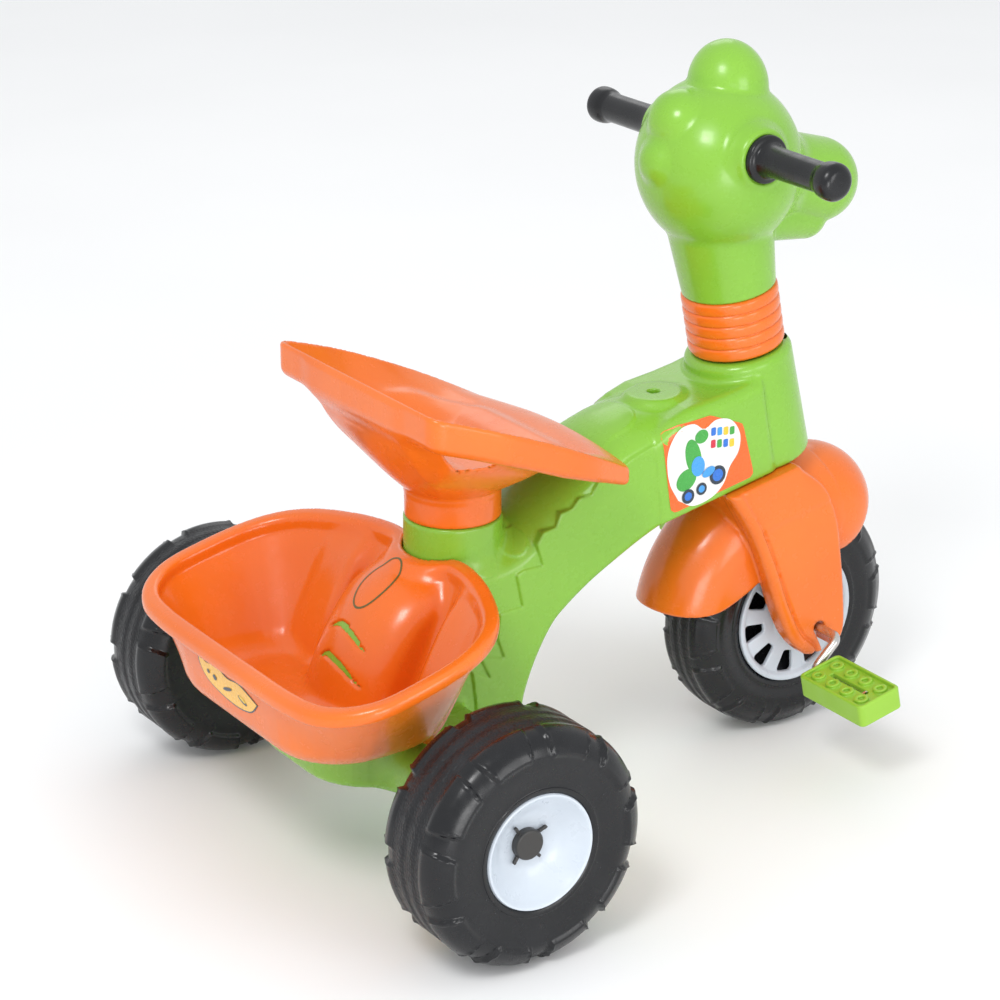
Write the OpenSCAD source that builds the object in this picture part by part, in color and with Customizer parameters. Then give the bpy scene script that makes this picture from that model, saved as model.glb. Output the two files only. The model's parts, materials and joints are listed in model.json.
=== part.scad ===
// Children's pedal tricycle with an animal-head steering column.
// Millimetres. +X is forwards, +Y is the rider's left, +Z is up.
// The origin is on the ground, under the middle of the overall length.

/* [Wheels] */
// Distance between the rear axle and the front axle
wheelbase = 435; // [425:1:445]
// Outer radius of the rear wheels
rear_r = 100; // [98:0.5:102]
// Outer radius of the front wheel
front_r = 109; // [107:0.5:111]
// Half width of a rear tyre
rear_half_w = 42.5; // [40:0.5:44]
// Half width of the front tyre
front_half_w = 33.7; // [31:0.1:35]
// Distance from the centre line to the middle of a rear wheel
rear_track_half = 228; // [226:1:234]

/* [Frame] */
// Half width of the arched body
arch_half_w = 47; // [44:0.5:48]
// Half width of the housing behind the head tube
housing_half_w = 50; // [49:0.5:52]
// Wall of the blow-moulded parts
wall = 2.6; // [2.4:0.1:3]
// Radius of the seat post
post_r = 41; // [40:0.5:42]
// Height of the seat post's top edge
post_top = 270; // [268:1:272]
// Underside of the tail that carries the rear axle
tail_bottom = 84; // [80:1:86]
// Top of the tail, which the basket rests on
tail_top = 124; // [122:1:126]

/* [Steering] */
// Angle by which the steering column leans back
rake = 11.1; // [9:0.1:13]
// Distance along the column from the front axle to the head tube's lower end
tube_low = 157; // [156.5:0.5:159]
// Distance along the column from the front axle to the head tube's upper end
tube_high = 259; // [256:0.5:260]
// Radius of the steel steering tube
steer_r = 11; // [10:0.5:12]
// Outer half width of the fork
fork_half_w = 66; // [64:0.5:68]
// Inner half width of the fork
fork_gap = 41; // [40:0.5:43]
// Length of the handlebar from tip to tip, without the grip ends
bar_len = 300; // [280:2:310]
// Radius of the handlebar tube
bar_r = 8; // [7:0.5:9]

/* [Pedals] */
// Radius of the bent steel crank rod
rod_r = 4; // [3.5:0.5:4.5]
// Throw of the crank
crank_throw = 37; // [34:1:40]
// Distance from the centre line to each crank arm
crank_y = 92; // [90:1:94]
// Length of a pedal
pedal_len = 84; // [78:1:88]
// Width of a pedal
pedal_w = 46; // [44:1:48]
// Thickness of a pedal
pedal_h = 21; // [20:1:22]

/* [Seat] */
// Height of the seat's back edge
seat_back_z = 404; // [400:1:408]
// Half width of the seat at its back edge
seat_half_back = 116; // [110:1:118]
// Half width of the seat at its front edge
seat_half_front = 100; // [94:1:104]
// Length of the seat from back edge to front edge
seat_len = 196; // [190:1:200]

/* [Basket] */
// Half width of the basket's rim at its widest
basket_half_w = 181; // [178:0.5:183]
// Distance that the rim reaches behind the rear axle
basket_rear = 128; // [124:1:132]
// Height of the rim above the rear axle's position along the part
rim_z = 229; // [227:1:233]
// Rise of the rim towards the front, per unit of length
rim_slope = 0.25; // [0.2:0.01:0.26]

/* [Hidden] */
$fn = 64;

green = "yellowgreen";
orange = "darkorange";
dark = "dimgray";
steel = "silver";

// The overall length runs from the basket's rim to the front of the front tyre.
mid_x = (wheelbase + front_r - basket_rear) / 2;
rear_x = -mid_x;
front_x = wheelbase - mid_x;

run_gap = 0.05;     // radial clearance of a shaft in its bush
seam = 0.3;         // gap between pieces that are only laid together
axle_r = 5;
post_x = 94;        // seat post, ahead of the rear axle
boss_x = 297;       // disc on top of the frame, ahead of the rear axle
boss_top = 336;
boss_hole_r = 5.5;
boss_hole_depth = 7;
wing_r = 23.6;        // axle housing where it leaves the tail
wheel_well_r = 117;
guard_ring_r = 104; // middle of the mudguard's round section
guard_r = 46;
bar_p = 4.5;        // handlebar, ahead of the steering axis
bar_s = 444;        // handlebar, up the steering axis
hub_end = 40;       // inboard reach of a rear hub from the wheel's middle
dish_r = 47;        // white dish of a rear wheel
rim_r = 62;         // white rim of the front wheel

// ---- placing ----

module from_rear_axle() translate([rear_x, 0, 0]) children();

// Local X is ahead of the steering axis, local Z runs up it from the front axle.
module on_steering() translate([front_x, 0, front_r]) rotate([0, -rake, 0]) children();

// An X-Z outline, made solid between y0 and y1.
module slab(y0, y1) translate([0, y1, 0]) rotate([90, 0, 0]) linear_extrude(y1 - y0) children();

// A round bar along Y.
module bar_y(r, y0, y1) translate([0, y1, 0]) rotate([90, 0, 0]) cylinder(r = r, h = y1 - y0);

module bar_y_cone(r0, r1, y0, y1) {
  translate([0, y0, 0]) rotate([-90, 0, 0]) cylinder(r1 = r0, r2 = r1, h = y1 - y0);
}

// A solid of revolution about Y. The outline is [radius, distance outboard on the right].
module turned_right() rotate([90, 0, 0]) rotate_extrude(angle = 360) children();

module both_sides() {
  children();
  mirror([0, 1, 0]) children();
}

// ---- outlines ----

function unit(v) = v / norm(v);

// A closed outline of straight edges and rounded corners, always in the same number of points.
// corners is a list of [x, y, radius].
function rounded(corners, arc_n, edge_n) = [
  for (i = [0 : len(corners) - 1])
    let (
      n = len(corners),
      a = corners[(i + n - 1) % n],
      b = corners[i],
      c = corners[(i + 1) % n],
      d = corners[(i + 2) % n],
      p = [b[0], b[1]],
      q = [c[0], c[1]],
      u = unit([a[0], a[1]] - p),
      v = unit([c[0], c[1]] - p),
      half = acos(max(-1, min(1, u * v))) / 2,
      cut = b[2] / tan(half),
      centre = p + unit(u + v) * b[2] / sin(half),
      from = p + u * cut - centre,
      to = p + v * cut - centre,
      a0 = atan2(from[1], from[0]),
      turn = atan2(to[1], to[0]) - a0,
      sweep = turn > 180 ? turn - 360 : (turn < -180 ? turn + 360 : turn),
      w = unit([d[0], d[1]] - q),
      half2 = acos(max(-1, min(1, -v * w))) / 2,
      edge_from = p + v * cut,
      edge_to = q - v * c[2] / tan(half2)
    )
    each concat(
      [for (k = [0 : arc_n]) centre + b[2] * [cos(a0 + sweep * k / arc_n), sin(a0 + sweep * k / arc_n)]],
      [for (k = [1 : edge_n - 1]) edge_from + (edge_to - edge_from) * k / edge_n]
    )
];

// A closed solid through a stack of rings, each a list of the same number of points.
module loft(rings) {
  n = len(rings[0]);
  m = len(rings);
  points = [for (ring = rings) each ring];
  low_mid = [for (k = [0 : 2]) [for (p = rings[0]) p[k]] * [for (p = rings[0]) 1 / n]];
  high_mid = [for (k = [0 : 2]) [for (p = rings[m - 1]) p[k]] * [for (p = rings[0]) 1 / n]];
  sides = [
    for (i = [0 : m - 2]) for (j = [0 : n - 1])
      let (a = i * n + j, b = i * n + (j + 1) % n)
      each [[a, a + n, b + n], [a, b + n, b]]
  ];
  low_cap = [for (j = [0 : n - 1]) [n * m, j, (j + 1) % n]];
  high_cap = [for (j = [0 : n - 1]) [n * m + 1, n * (m - 1) + (j + 1) % n, n * (m - 1) + j]];
  polyhedron(points = concat(points, [low_mid, high_mid]), faces = concat(sides, low_cap, high_cap));
}

// ---- frame ----

// Side view of the arched body, ahead of the rear axle.
arch_outline = [
  [-37, tail_top], [-26, 160], [-12, 188], [8, 214], [38, 236], [62, 238], [126, 240], [150, 266],
  [185, 295], [222, 315], [256, 326], [284, 328], [284, 238], [254, 228], [231, 217], [201, 201],
  [176, 184], [161, 170], [146, 146], [134, 117], [128, tail_bottom], [-37, tail_bottom]
];

// The lower edge of the head tube and its housing lies square to the steering axis.
function tube_x(s) = wheelbase - s * sin(rake);
function tube_z(s) = front_r + s * cos(rake);
function edge_z(x) = tube_z(tube_low) + (x - tube_x(tube_low)) * tan(rake);

housing_outline = [
  [276, 327], [322, 329], [352, 338], [tube_x(tube_high - 6), tube_z(tube_high - 6)],
  [tube_x(tube_low), tube_z(tube_low)], [276, edge_z(276)]
];

tail_plan = rounded([[-64, -88, 58], [70, -88, 20], [70, 88, 20], [-64, 88, 58]], 12, 2);

module head_tube_core(r, extra) {
  on_steering() translate([0, 0, tube_low - extra]) cylinder(r = r, h = tube_high - tube_low + 2 * extra);
}

module frame_outside() {
  from_rear_axle() slab(-arch_half_w, arch_half_w) polygon(arch_outline);
  from_rear_axle() slab(-housing_half_w, housing_half_w) polygon(housing_outline);
  from_rear_axle() translate([post_x, 0, 170]) cylinder(r = post_r, h = post_top - 170);
  from_rear_axle() translate([0, 0, tail_bottom]) linear_extrude(tail_top - tail_bottom) polygon(tail_plan);
  from_rear_axle() translate([0, 0, rear_r]) both_sides() bar_y_cone(18, wing_r, -184, -62);
  from_rear_axle() translate([boss_x, 0, 322]) cylinder(r1 = 30, r2 = 24, h = boss_top - 322);
  on_steering() translate([0, 0, tube_low]) cylinder(r1 = 50, r2 = 46.5, h = tube_high - tube_low - 6);
  on_steering() translate([0, 0, tube_high - 6]) cylinder(r1 = 46.5, r2 = 42.5, h = 6);
}

module frame_inside() {
  difference() {
    union() {
      from_rear_axle() slab(wall - arch_half_w, arch_half_w - wall) offset(delta = -wall) polygon(arch_outline);
      from_rear_axle() slab(-arch_half_w + wall, arch_half_w - wall) {
        polygon([[270, 322], [340, 324], [372, edge_z(372) + wall + 2], [270, edge_z(270) + wall + 2]]);
      }
      from_rear_axle() translate([post_x, 0, 190]) cylinder(r = post_r - 5, h = post_top - 190 + 1);
      from_rear_axle() translate([0, 0, rear_r]) both_sides() bar_y_cone(18 - wall, wing_r - wall, -164, -62);
      on_steering() translate([0, 0, tube_low + wall]) {
        cylinder(r1 = 50 - wall, r2 = 46.5 - wall, h = tube_high - tube_low - 12);
      }
      from_rear_axle() translate([0, 0, tail_bottom + wall]) {
        linear_extrude(tail_top - tail_bottom - 2 * wall) offset(delta = -wall) polygon(tail_plan);
      }
    }
    head_tube_core(20, 10);
    from_rear_axle() translate([0, 0, rear_r]) bar_y(12, -200, 200);
    from_rear_axle() translate([boss_x, 0, 300]) cylinder(r = 12, h = 60);
    basket_screw_places() cylinder(r = 7, h = 40, center = true);
  }
}

module frame_shell() {
  color(green) difference() {
    frame_outside();
    frame_inside();
    head_tube_core(steer_r + 2.5, 2);
    on_steering() translate([0, 0, tube_low - 1]) cylinder(r = 16, h = 13);
    on_steering() translate([0, 0, tube_high - 12]) cylinder(r = 16, h = 13);
    from_rear_axle() translate([0, 0, rear_r]) bar_y(axle_r + 1, -200, 200);
    from_rear_axle() translate([0, 0, rear_r]) both_sides() bar_y(9, -185, -168);
    from_rear_axle() translate([boss_x, 0, boss_top - boss_hole_depth]) cylinder(r = boss_hole_r, h = 20);
    basket_screw_places() translate([0, 0, -16]) cylinder(r = 1.8, h = 30);
    seat_screw_places() cylinder(r = 2.2, h = 20, center = true);
  }
}

module steering_bush(s_mid, up) {
  color("white") on_steering() translate([0, 0, s_mid]) rotate([up ? 0 : 180, 0, 0]) difference() {
    union() {
      translate([0, 0, -12]) cylinder(r = 16 - run_gap, h = 12);
      cylinder(r = 20, h = 1.2);
    }
    translate([0, 0, -20]) cylinder(r = steer_r + run_gap, h = 30);
  }
}

module steering_bush_lower() steering_bush(tube_low, false);
module steering_bush_upper() steering_bush(tube_high, true);

// ---- seat ----

function seat_rim_z(x) = seat_back_z - 0.27 * x - 0.0008 * x * x;
function seat_front_rise(x, y) = 9 * pow(max(0, x / seat_len), 4) * max(0, 1 - pow(y / seat_half_front, 2));

// Seat outline, drawn in by inset on every side.
function seat_plan(inset) = rounded([
  [2 + inset, inset - seat_half_back, 7],
  [2 + seat_len - inset, inset - seat_half_front, 9],
  [2 + seat_len - inset, seat_half_front - inset, 9],
  [2 + inset, seat_half_back - inset, 7]
], 4, 6);

function seat_ring(inset, drop) = [
  for (p = seat_plan(inset))
    [p[0], p[1], seat_rim_z(p[0]) + seat_front_rise(p[0], p[1]) - drop * (1 - 0.45 * p[0] / seat_len)]
];

// Ring part of the way from the seat's outline down to a round collar or hollow.
function seat_blend(t, height, x_mid, rx, ry) = [
  for (p = seat_plan(10))
    let (
      dir = atan2(p[1] / ry, (p[0] - x_mid) / rx),
      target = [x_mid + rx * cos(dir), ry * sin(dir)]
    )
    [
      p[0] + (target[0] - p[0]) * t,
      p[1] + (target[1] - p[1]) * t,
      (seat_rim_z(p[0]) + seat_front_rise(p[0], p[1]) - 24) * (1 - height) + 298 * height
    ]
];

function seat_hollow(t, depth) = [
  for (p = seat_plan(16))
    let (c = [88, 0])
    [
      p[0] + (c[0] - p[0]) * t,
      p[1] + (c[1] - p[1]) * t,
      (seat_rim_z(p[0]) + seat_front_rise(p[0], p[1]) - 4) * (1 - depth) + 326 * depth
    ]
];

function seat_under(t, depth) = [for (p = seat_hollow(t, depth)) [p[0], p[1], p[2] - wall]];

module seat_cavity() {
  loft([
    seat_blend(1, 1, post_x, 33.5, 33.5), seat_blend(0.86, 0.9, post_x, 35, 35), seat_blend(0.62, 0.62, post_x, 36, 40),
    seat_blend(0.38, 0.34, post_x, 40, 48), seat_blend(0.18, 0.13, post_x, 45, 66), seat_ring(12, 18),
    seat_ring(14, 12), seat_under(0.1, 0.1), seat_under(0.3, 0.34), seat_under(0.53, 0.66),
    seat_under(0.74, 0.88), seat_under(0.9, 1)
  ]);
}

module seat() {
  color(orange) difference() {
    from_rear_axle() union() {
      loft([
        seat_blend(1, 1, post_x, 38, 38), seat_blend(0.86, 0.86, post_x, 40, 40),
        seat_blend(0.6, 0.62, post_x, 46, 50), seat_blend(0.32, 0.34, post_x, 50, 60),
        seat_blend(0.1, 0.1, post_x, 55, 80), seat_ring(3, 26), seat_ring(0, 20), seat_ring(0, 4),
        seat_ring(3, 0), seat_ring(9, 0), seat_hollow(0, 0), seat_hollow(0.28, 0.34),
        seat_hollow(0.52, 0.66), seat_hollow(0.74, 0.88), seat_hollow(0.9, 1)
      ]);
      translate([post_x, 0, post_top + 0.05]) cylinder(r = 40, h = 30);
      translate([post_x, 0, post_top - 42]) cylinder(r = post_r - 5 - run_gap, h = 50);
    }
    from_rear_axle() seat_cavity();
    from_rear_axle() translate([post_x, 0, post_top - 43]) cylinder(r = post_r - 10, h = 75);
    seat_screw_places() cylinder(r = 1.7, h = 24, center = true);
  }
}

// Two screws hold the seat's plug inside the post, from the left and the right.
module seat_screw_places() {
  from_rear_axle() translate([post_x, 0, post_top - 16]) both_sides() {
    translate([0, -post_r + 2, 0]) rotate([90, 0, 0]) children();
  }
}

module screw(head_r, head_h, r, length) {
  difference() {
    cylinder(r = head_r, h = head_h);
    translate([0, 0, head_h - 1]) for (a = [0, 90]) rotate(a) cube([head_r * 1.1, 0.9, 3], center = true);
  }
  translate([0, 0, -length]) cylinder(r = r, h = length + 0.2);
}

module seat_screws() color(steel) seat_screw_places() translate([0, 0, 2.1]) screw(4, 2.2, 1.65, 11);

// ---- basket ----

function rim_height(x) = rim_z + rim_slope * x;

function basket_plan(inset) = rounded([
  [-basket_rear + inset, inset - basket_half_w + 2, 52 - inset * 0.55],
  [30 - inset, inset - basket_half_w + 8, 26 - inset * 0.3],
  [57 - inset, inset - 104, 22 - inset * 0.2],
  [57 - inset, 104 - inset, 22 - inset * 0.2],
  [30 - inset, basket_half_w - 8 - inset, 26 - inset * 0.3],
  [-basket_rear + inset, basket_half_w - 2 - inset, 52 - inset * 0.55]
], 5, 4);

function basket_rim_ring(inset, drop) = [for (p = basket_plan(inset)) [p[0], p[1], rim_height(p[0]) - drop]];
function basket_flat_ring(inset, z) = [for (p = basket_plan(inset)) [p[0], p[1], z]];

// Side view of the sloping back of the frame, which the basket's hump covers.
function saddle_outline(gap, low) = [
  [-38 - gap, low], [-38 - gap, 135], [-26 - gap, 163 + gap], [-12 - gap, 190 + gap],
  [8 - gap, 215 + gap], [38, 239 + gap], [62, 240 + gap], [62, low]
];

// The flat part of the basket's floor, above or below.
module basket_flat(inset, z) translate([0, 0, z]) linear_extrude(3) polygon(basket_plan(inset));

module basket_outside() {
  basket_flat(50, tail_top + seam);
  loft([
    basket_flat_ring(51, tail_top + seam + 1.2), basket_flat_ring(40, tail_top + 5), basket_flat_ring(33, tail_top + 14),
    basket_flat_ring(27, tail_top + 34), basket_rim_ring(16, 20), basket_rim_ring(10, 14), basket_rim_ring(2, 12),
    basket_rim_ring(0, 8), basket_rim_ring(0, 4), basket_rim_ring(3, 0.5), basket_rim_ring(6, 0)
  ]);
}

module basket_hollow() {
  basket_flat(58, tail_top + 4);
  loft([
    basket_flat_ring(57, tail_top + 5.5), basket_flat_ring(44, tail_top + 9), basket_flat_ring(37, tail_top + 18),
    basket_flat_ring(31, tail_top + 36), basket_rim_ring(20, 18), basket_rim_ring(14, 6), basket_rim_ring(8, -0.5),
    basket_rim_ring(6, -6)
  ]);
}

module basket() {
  color(orange) from_rear_axle() difference() {
    union() {
      difference() {
        basket_outside();
        basket_hollow();
      }
      intersection() {
        slab(-arch_half_w - 4, arch_half_w + 4) polygon(saddle_outline(4, tail_top + 2));
        basket_outside();
      }
    }
    slab(-arch_half_w - seam, arch_half_w + seam) polygon(saddle_outline(seam, 100));
    translate([post_x, 0, 100]) cylinder(r = post_r + 0.6, h = 200);
    translate([-rear_x, 0, 0]) basket_screw_places() union() {
      cylinder(r = 2.2, h = 12, center = true);
      cylinder(r = 5, h = 12);
    }
  }
}

module basket_screw_places() {
  from_rear_axle() both_sides() translate([-52, -26, tail_top + 1.4]) children();
  from_rear_axle() both_sides() translate([-26, -68, tail_top + 1.4]) children();
}

module basket_screws() color(steel) basket_screw_places() translate([0, 0, 0.1]) screw(4.5, 2.4, 1.7, 14);

module basket_decal() {
  color("gold") from_rear_axle() translate([-basket_rear + 20.9, 0, 167.2]) rotate([0, -120, 0]) {
    linear_extrude(0.4, center = true) polygon([for (a = [0 : 15 : 345]) [10 * cos(a), 44 * sin(a)]]);
  }
}

// ---- stickers on the frame's sides ----

decal_outline = [[272, 318], [300, 323], [326, 322], [346, 304], [360, 258], [290, 244]];

module frame_decal(side) {
  color(orange) from_rear_axle() translate([0, side * (housing_half_w + 0.25), 0]) {
    slab(-0.2, 0.2) polygon(decal_outline);
  }
}

module frame_decal_left() frame_decal(1);
module frame_decal_right() frame_decal(-1);

// ---- rear axle and wheels ----

module rear_axle() {
  color(steel) from_rear_axle() translate([0, 0, rear_r]) {
    bar_y(axle_r, -rear_track_half - 17.5, rear_track_half + 17.5);
  }
}

module axle_bush() {
  from_rear_axle() translate([0, 0, rear_r]) difference() {
    bar_y(9 - run_gap, -184, -168.1);
    bar_y(axle_r + run_gap, -200, -160);
  }
}

module axle_bush_right() color("white") axle_bush();
module axle_bush_left() color("white") mirror([0, 1, 0]) axle_bush();

module rear_washers() {
  color(steel) from_rear_axle() translate([0, 0, rear_r]) both_sides() difference() {
    bar_y(12, -187, -184.8);
    bar_y(axle_r + run_gap, -200, -160);
  }
}

// Star-lock nuts on the axle's ends, inside the hub caps.
module axle_push_nuts() {
  color(steel) from_rear_axle() translate([0, 0, rear_r]) both_sides() difference() {
    bar_y(8.5, -rear_track_half - 16.5, -rear_track_half - 14.6);
    bar_y(axle_r, -300, -160);
  }
}

// Section of a hollow tyre, as [radius, distance outboard]. The hollow opens into the bore.
function tyre_section(r, half, lip, out_face, in_face, bore) = [
  [bore, out_face], [lip, out_face], [lip, half - 4.5], [lip + 4, half - 1], [lip + 10, half],
  [r * 0.76, half - 0.8], [r * 0.88, half - 4], [r * 0.95, half - 9.5], [r * 0.985, half * 0.6], [r, half * 0.3],
  [r, -half * 0.3], [r * 0.985, -half * 0.6], [r * 0.95, 9.5 - half], [r * 0.88, 4 - half], [r * 0.76, 0.8 - half],
  [lip + 10, -half], [lip + 4, 1 - half], [lip, 4.5 - half], [lip, -in_face], [bore, -in_face],
  [bore, wall - in_face], [lip + wall, wall - in_face], [lip + 6, wall + 1 - half], [r * 0.74, wall + 1.5 - half],
  [r * 0.9, 12 - half], [r - wall - 2, -half * 0.5], [r - wall - 1, 0], [r - wall - 2, half * 0.5],
  [r * 0.9, half - 12], [r * 0.74, half - wall - 1.5], [lip + 6, half - wall - 1], [lip + wall, out_face - wall],
  [bore, out_face - wall]
];

module at_right_wheel() from_rear_axle() translate([0, -rear_track_half, rear_r]) children();

module rear_tyre() {
  color(dark) at_right_wheel() turned_right() polygon(tyre_section(rear_r, rear_half_w, dish_r, 14, 36, 9));
}

// White hollow dish with a rolled edge.
dish_section = [
  [9.05, 14.2], [13, 14.2], [20, 14.6], [32, 19], [41, 27], [dish_r - 0.1, 32], [dish_r - 0.1, 38],
  [dish_r - 2, 38.6], [dish_r - 4, 37.6], [39, 30.5], [30, 22.5], [20, 18], [9.05, 17.4]
];

module rear_dish() color("white") at_right_wheel() turned_right() polygon(dish_section);

module rear_bush() {
  color("gainsboro") at_right_wheel() difference() {
    bar_y(9 - 0.02, -14, hub_end);
    bar_y(axle_r + run_gap, -40, 60);
  }
}

// Dark cap over the axle's end, with three small lugs round it.
module rear_cap() {
  color(dark) at_right_wheel() {
    turned_right() polygon([[9.4, 17.5], [12.5, 17.7], [12.5, 21], [10.5, 22.5], [0, 22.8], [0, 20.8], [9.4, 20.4]]);
    for (a = [90, 210, 330]) rotate([0, a, 0]) translate([13.6, -19.3, 0]) cube([4, 1.8, 3.4], center = true);
  }
}

module rear_tyre_right() rear_tyre();
module rear_tyre_left() mirror([0, 1, 0]) rear_tyre();
module rear_dish_right() rear_dish();
module rear_dish_left() mirror([0, 1, 0]) rear_dish();
module rear_bush_right() rear_bush();
module rear_bush_left() mirror([0, 1, 0]) rear_bush();
module rear_cap_right() rear_cap();
module rear_cap_left() mirror([0, 1, 0]) rear_cap();

// ---- fork and mudguard ----

fork_top = tube_low - 1.5;

// Side view of a fork leg and the bridge above the wheel.
leg_outline = [
  [-57, fork_top], [-45, 138], [-37, 116], [-33, 98], [-28, 61], [-25, 9], [-21, -12], [-12, -21],
  [8, -24], [22, -17], [28, 0], [33, 24], [41, 71], [52, 100], [56, 130], [50, fork_top]
];

module guard_solid(ring, r) {
  rotate([90, 0, 0]) rotate_extrude() intersection() {
    translate([ring, 0]) circle(r = r);
    translate([0, -100]) square([400, 200]);
  }
  bar_y(ring, -r, r);
}

bridge_outline = [
  [-57, fork_top], [-45, 138], [-37, 116], [-33, 98], [33, 98], [52, 100], [56, 130], [50, fork_top]
];

module front_lobe(less) {
  intersection() {
    guard_solid(108, guard_r - less);
    translate([65, 0, 78]) bar_y(57 - less, -60, 60);
  }
}

// The fork is a shell, open towards the wheel, with solid bosses for the tube, the bolt and the axle.
module fork_inside() {
  both_sides() slab(wall - fork_half_w, 1 - fork_gap) intersection() {
    offset(delta = -wall) polygon(leg_outline);
    translate([-80, 30]) square([160, 82]);
  }
  slab(wall - fork_half_w, fork_half_w - wall) offset(delta = -wall) polygon(bridge_outline);
  front_lobe(wall);
}

module fork() {
  color(orange) on_steering() difference() {
    union() {
      both_sides() slab(-fork_half_w, -fork_gap) polygon(leg_outline);
      slab(-fork_half_w, fork_half_w) polygon(bridge_outline);
      front_lobe(0);
      both_sides() translate([-2, -fork_half_w, 140]) bar_y_cone(7, 9, -1.6, 0);
    }
    difference() {
      fork_inside();
      translate([0, 0, 100]) cylinder(r = steer_r + 4, h = 60);
      translate([0, 0, 136]) bar_y(8, -80, 80);
    }
    bar_y(wheel_well_r, -fork_gap, fork_gap);
    translate([0, 0, 60]) cylinder(r = steer_r, h = 120);
    bar_y(9, -80, 80);
    slab(-80, 80) polygon([[-9, 0], [-3, -30], [7, -30], [9, 0]]);
    both_sides() front_bush_screw_spots() cylinder(r = 1.8, h = 14, center = true);
    translate([0, 0, 136]) bar_y(3.05, -80, 80);
    both_sides() translate([0, -fork_half_w, 136]) bar_y(6.6, -3, 10);
  }
}

module rear_mudguard() {
  color(orange) on_steering() difference() {
    intersection() {
      guard_solid(guard_ring_r, guard_r);
      slab(-60, 60) polygon([[-160, 62], [-140, 60], [-112, 50], [-86, 47], [-58, 56], [0, 64], [0, 160], [-160, 160]]);
    }
    guard_solid(guard_ring_r, guard_r - wall);
    slab(-80, 80) offset(delta = 0.15) polygon(concat(leg_outline, [[60, 200], [-57, 200]]));
  }
}

module fork_bolt() {
  color(steel) on_steering() translate([0, 0, 136]) {
    bar_y(3, -fork_half_w + 3, fork_half_w - 2);
    bar_y(5.5, -fork_half_w - 0.5, -fork_half_w + 3);
  }
}

module fork_nut() {
  color(steel) on_steering() translate([0, 0, 136]) difference() {
    translate([0, fork_half_w + 1, 0]) rotate([90, 0, 0]) cylinder(r = 5.6, h = 4, $fn = 6);
    bar_y(3, 0, 100);
  }
}

module thrust_washer() {
  color("white") on_steering() translate([0, 0, fork_top]) difference() {
    cylinder(r = 30, h = 1.1);
    translate([0, 0, -1]) cylinder(r = 20.6, h = 4);
  }
}

module steering_tube() {
  color(steel) on_steering() difference() {
    translate([0, 0, 118]) cylinder(r = steer_r - 0.02, h = bar_s + 20 - 118);
    translate([0, 0, 110]) cylinder(r = steer_r - 2, h = bar_s);
    translate([0, 0, 136]) bar_y(3.05, -60, 60);
    translate([bar_p, 0, bar_s]) bar_y(bar_r + 0.05, -60, 60);
  }
}

// Where the two screws of each axle bush go.
module front_bush_screw_spots() {
  for (a = [[-13, 14], [13, 14]]) translate([a[0], -fork_half_w, a[1]]) rotate([90, 0, 0]) children();
}

// Clip that holds the axle up in the slot at the end of each fork leg.
module front_bush() {
  color(orange) on_steering() difference() {
    union() {
      bar_y(8.9, -fork_half_w - 2, -fork_gap + 1.5);
      slab(-fork_half_w - 2, -fork_half_w - 0.1) {
        polygon([[-17, 19], [17, 19], [17, 9], [9, -4], [-9, -4], [-17, 9]]);
      }
    }
    bar_y(rod_r + run_gap, -90, 0);
    front_bush_screw_spots() cylinder(r = 2, h = 14, center = true);
  }
}

module front_bush_right() front_bush();
module front_bush_left() mirror([0, 1, 0]) front_bush();

module front_bush_screws() {
  color(steel) on_steering() both_sides() front_bush_screw_spots() translate([0, 0, 2.05]) screw(3.4, 1.8, 1.6, 8);
}

// ---- neck, head and handlebar ----

ribs = 5;
collar_low = tube_high + 1.5;
collar_high = 314;

module neck_collar() {
  pitch = (collar_high - collar_low) / ribs;
  color(orange) on_steering() {
    rotate_extrude() polygon(concat(
      [[steer_r + 0.03, collar_low]],
      [
        for (i = [0 : ribs - 1]) each [
          [39.8, collar_low + i * pitch], [41.6, collar_low + (i + 0.25) * pitch],
          [41.6, collar_low + (i + 0.8) * pitch]
        ]
      ],
      [
        [39.8, collar_high], [36.5, collar_high], [36.5, collar_low + wall],
        [steer_r + 0.03, collar_low + wall]
      ]
    ));
  }
}

// [ahead of the axis, up the axis, radius] of the round forms that make the head.
head_c = [7, 424, 70];
crown_c = [26, 491, 34];
back_bump_c = [-32, 481.5, 21];
nape_bump_c = [-49, 445, 19];
muzzle_a = [58, 398, 36.5];
muzzle_b = [100, 375, 36.5];
jaw_a = [40, 368, 24];
jaw_b = [86, 349, 22];

module ball(c, less) translate([c[0], 0, c[1]]) sphere(r = c[2] - less);

bar_step = 0.8; // the bar between two balls is thinner than they are by this

// A round bar with round ends between two of the forms.
module capsule(a, b, less) {
  run = norm([b[0] - a[0], b[1] - a[1]]);
  lean = atan2(b[0] - a[0], b[1] - a[1]);
  ball(a, less);
  ball(b, less);
  translate([a[0], 0, a[1]]) rotate([0, lean, 0]) {
    cylinder(r1 = a[2] - less - bar_step, r2 = b[2] - less - bar_step, h = run);
  }
}

module head_shell() {
  color(green) on_steering() difference() {
    union() {
      ball(head_c, 0);
      ball(crown_c, 0);
      ball(back_bump_c, 0);
      ball(nape_bump_c, 0);
      capsule(muzzle_a, muzzle_b, 0);
      capsule(jaw_a, jaw_b, 0);
      translate([0, 0, collar_high + 0.2]) cylinder(r1 = 40.5, r2 = 45, h = 56);
      both_sides() translate([bar_p, 0, bar_s]) bar_y_cone(24, 29, -71, -58);
    }
    ball(head_c, wall);
    capsule(muzzle_a, muzzle_b, wall);
    translate([0, 0, collar_high - 1]) cylinder(r = 37, h = 70);
    translate([bar_p, 0, bar_s]) bar_y(bar_r + 0.1, -90, 90);
  }
}

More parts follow.
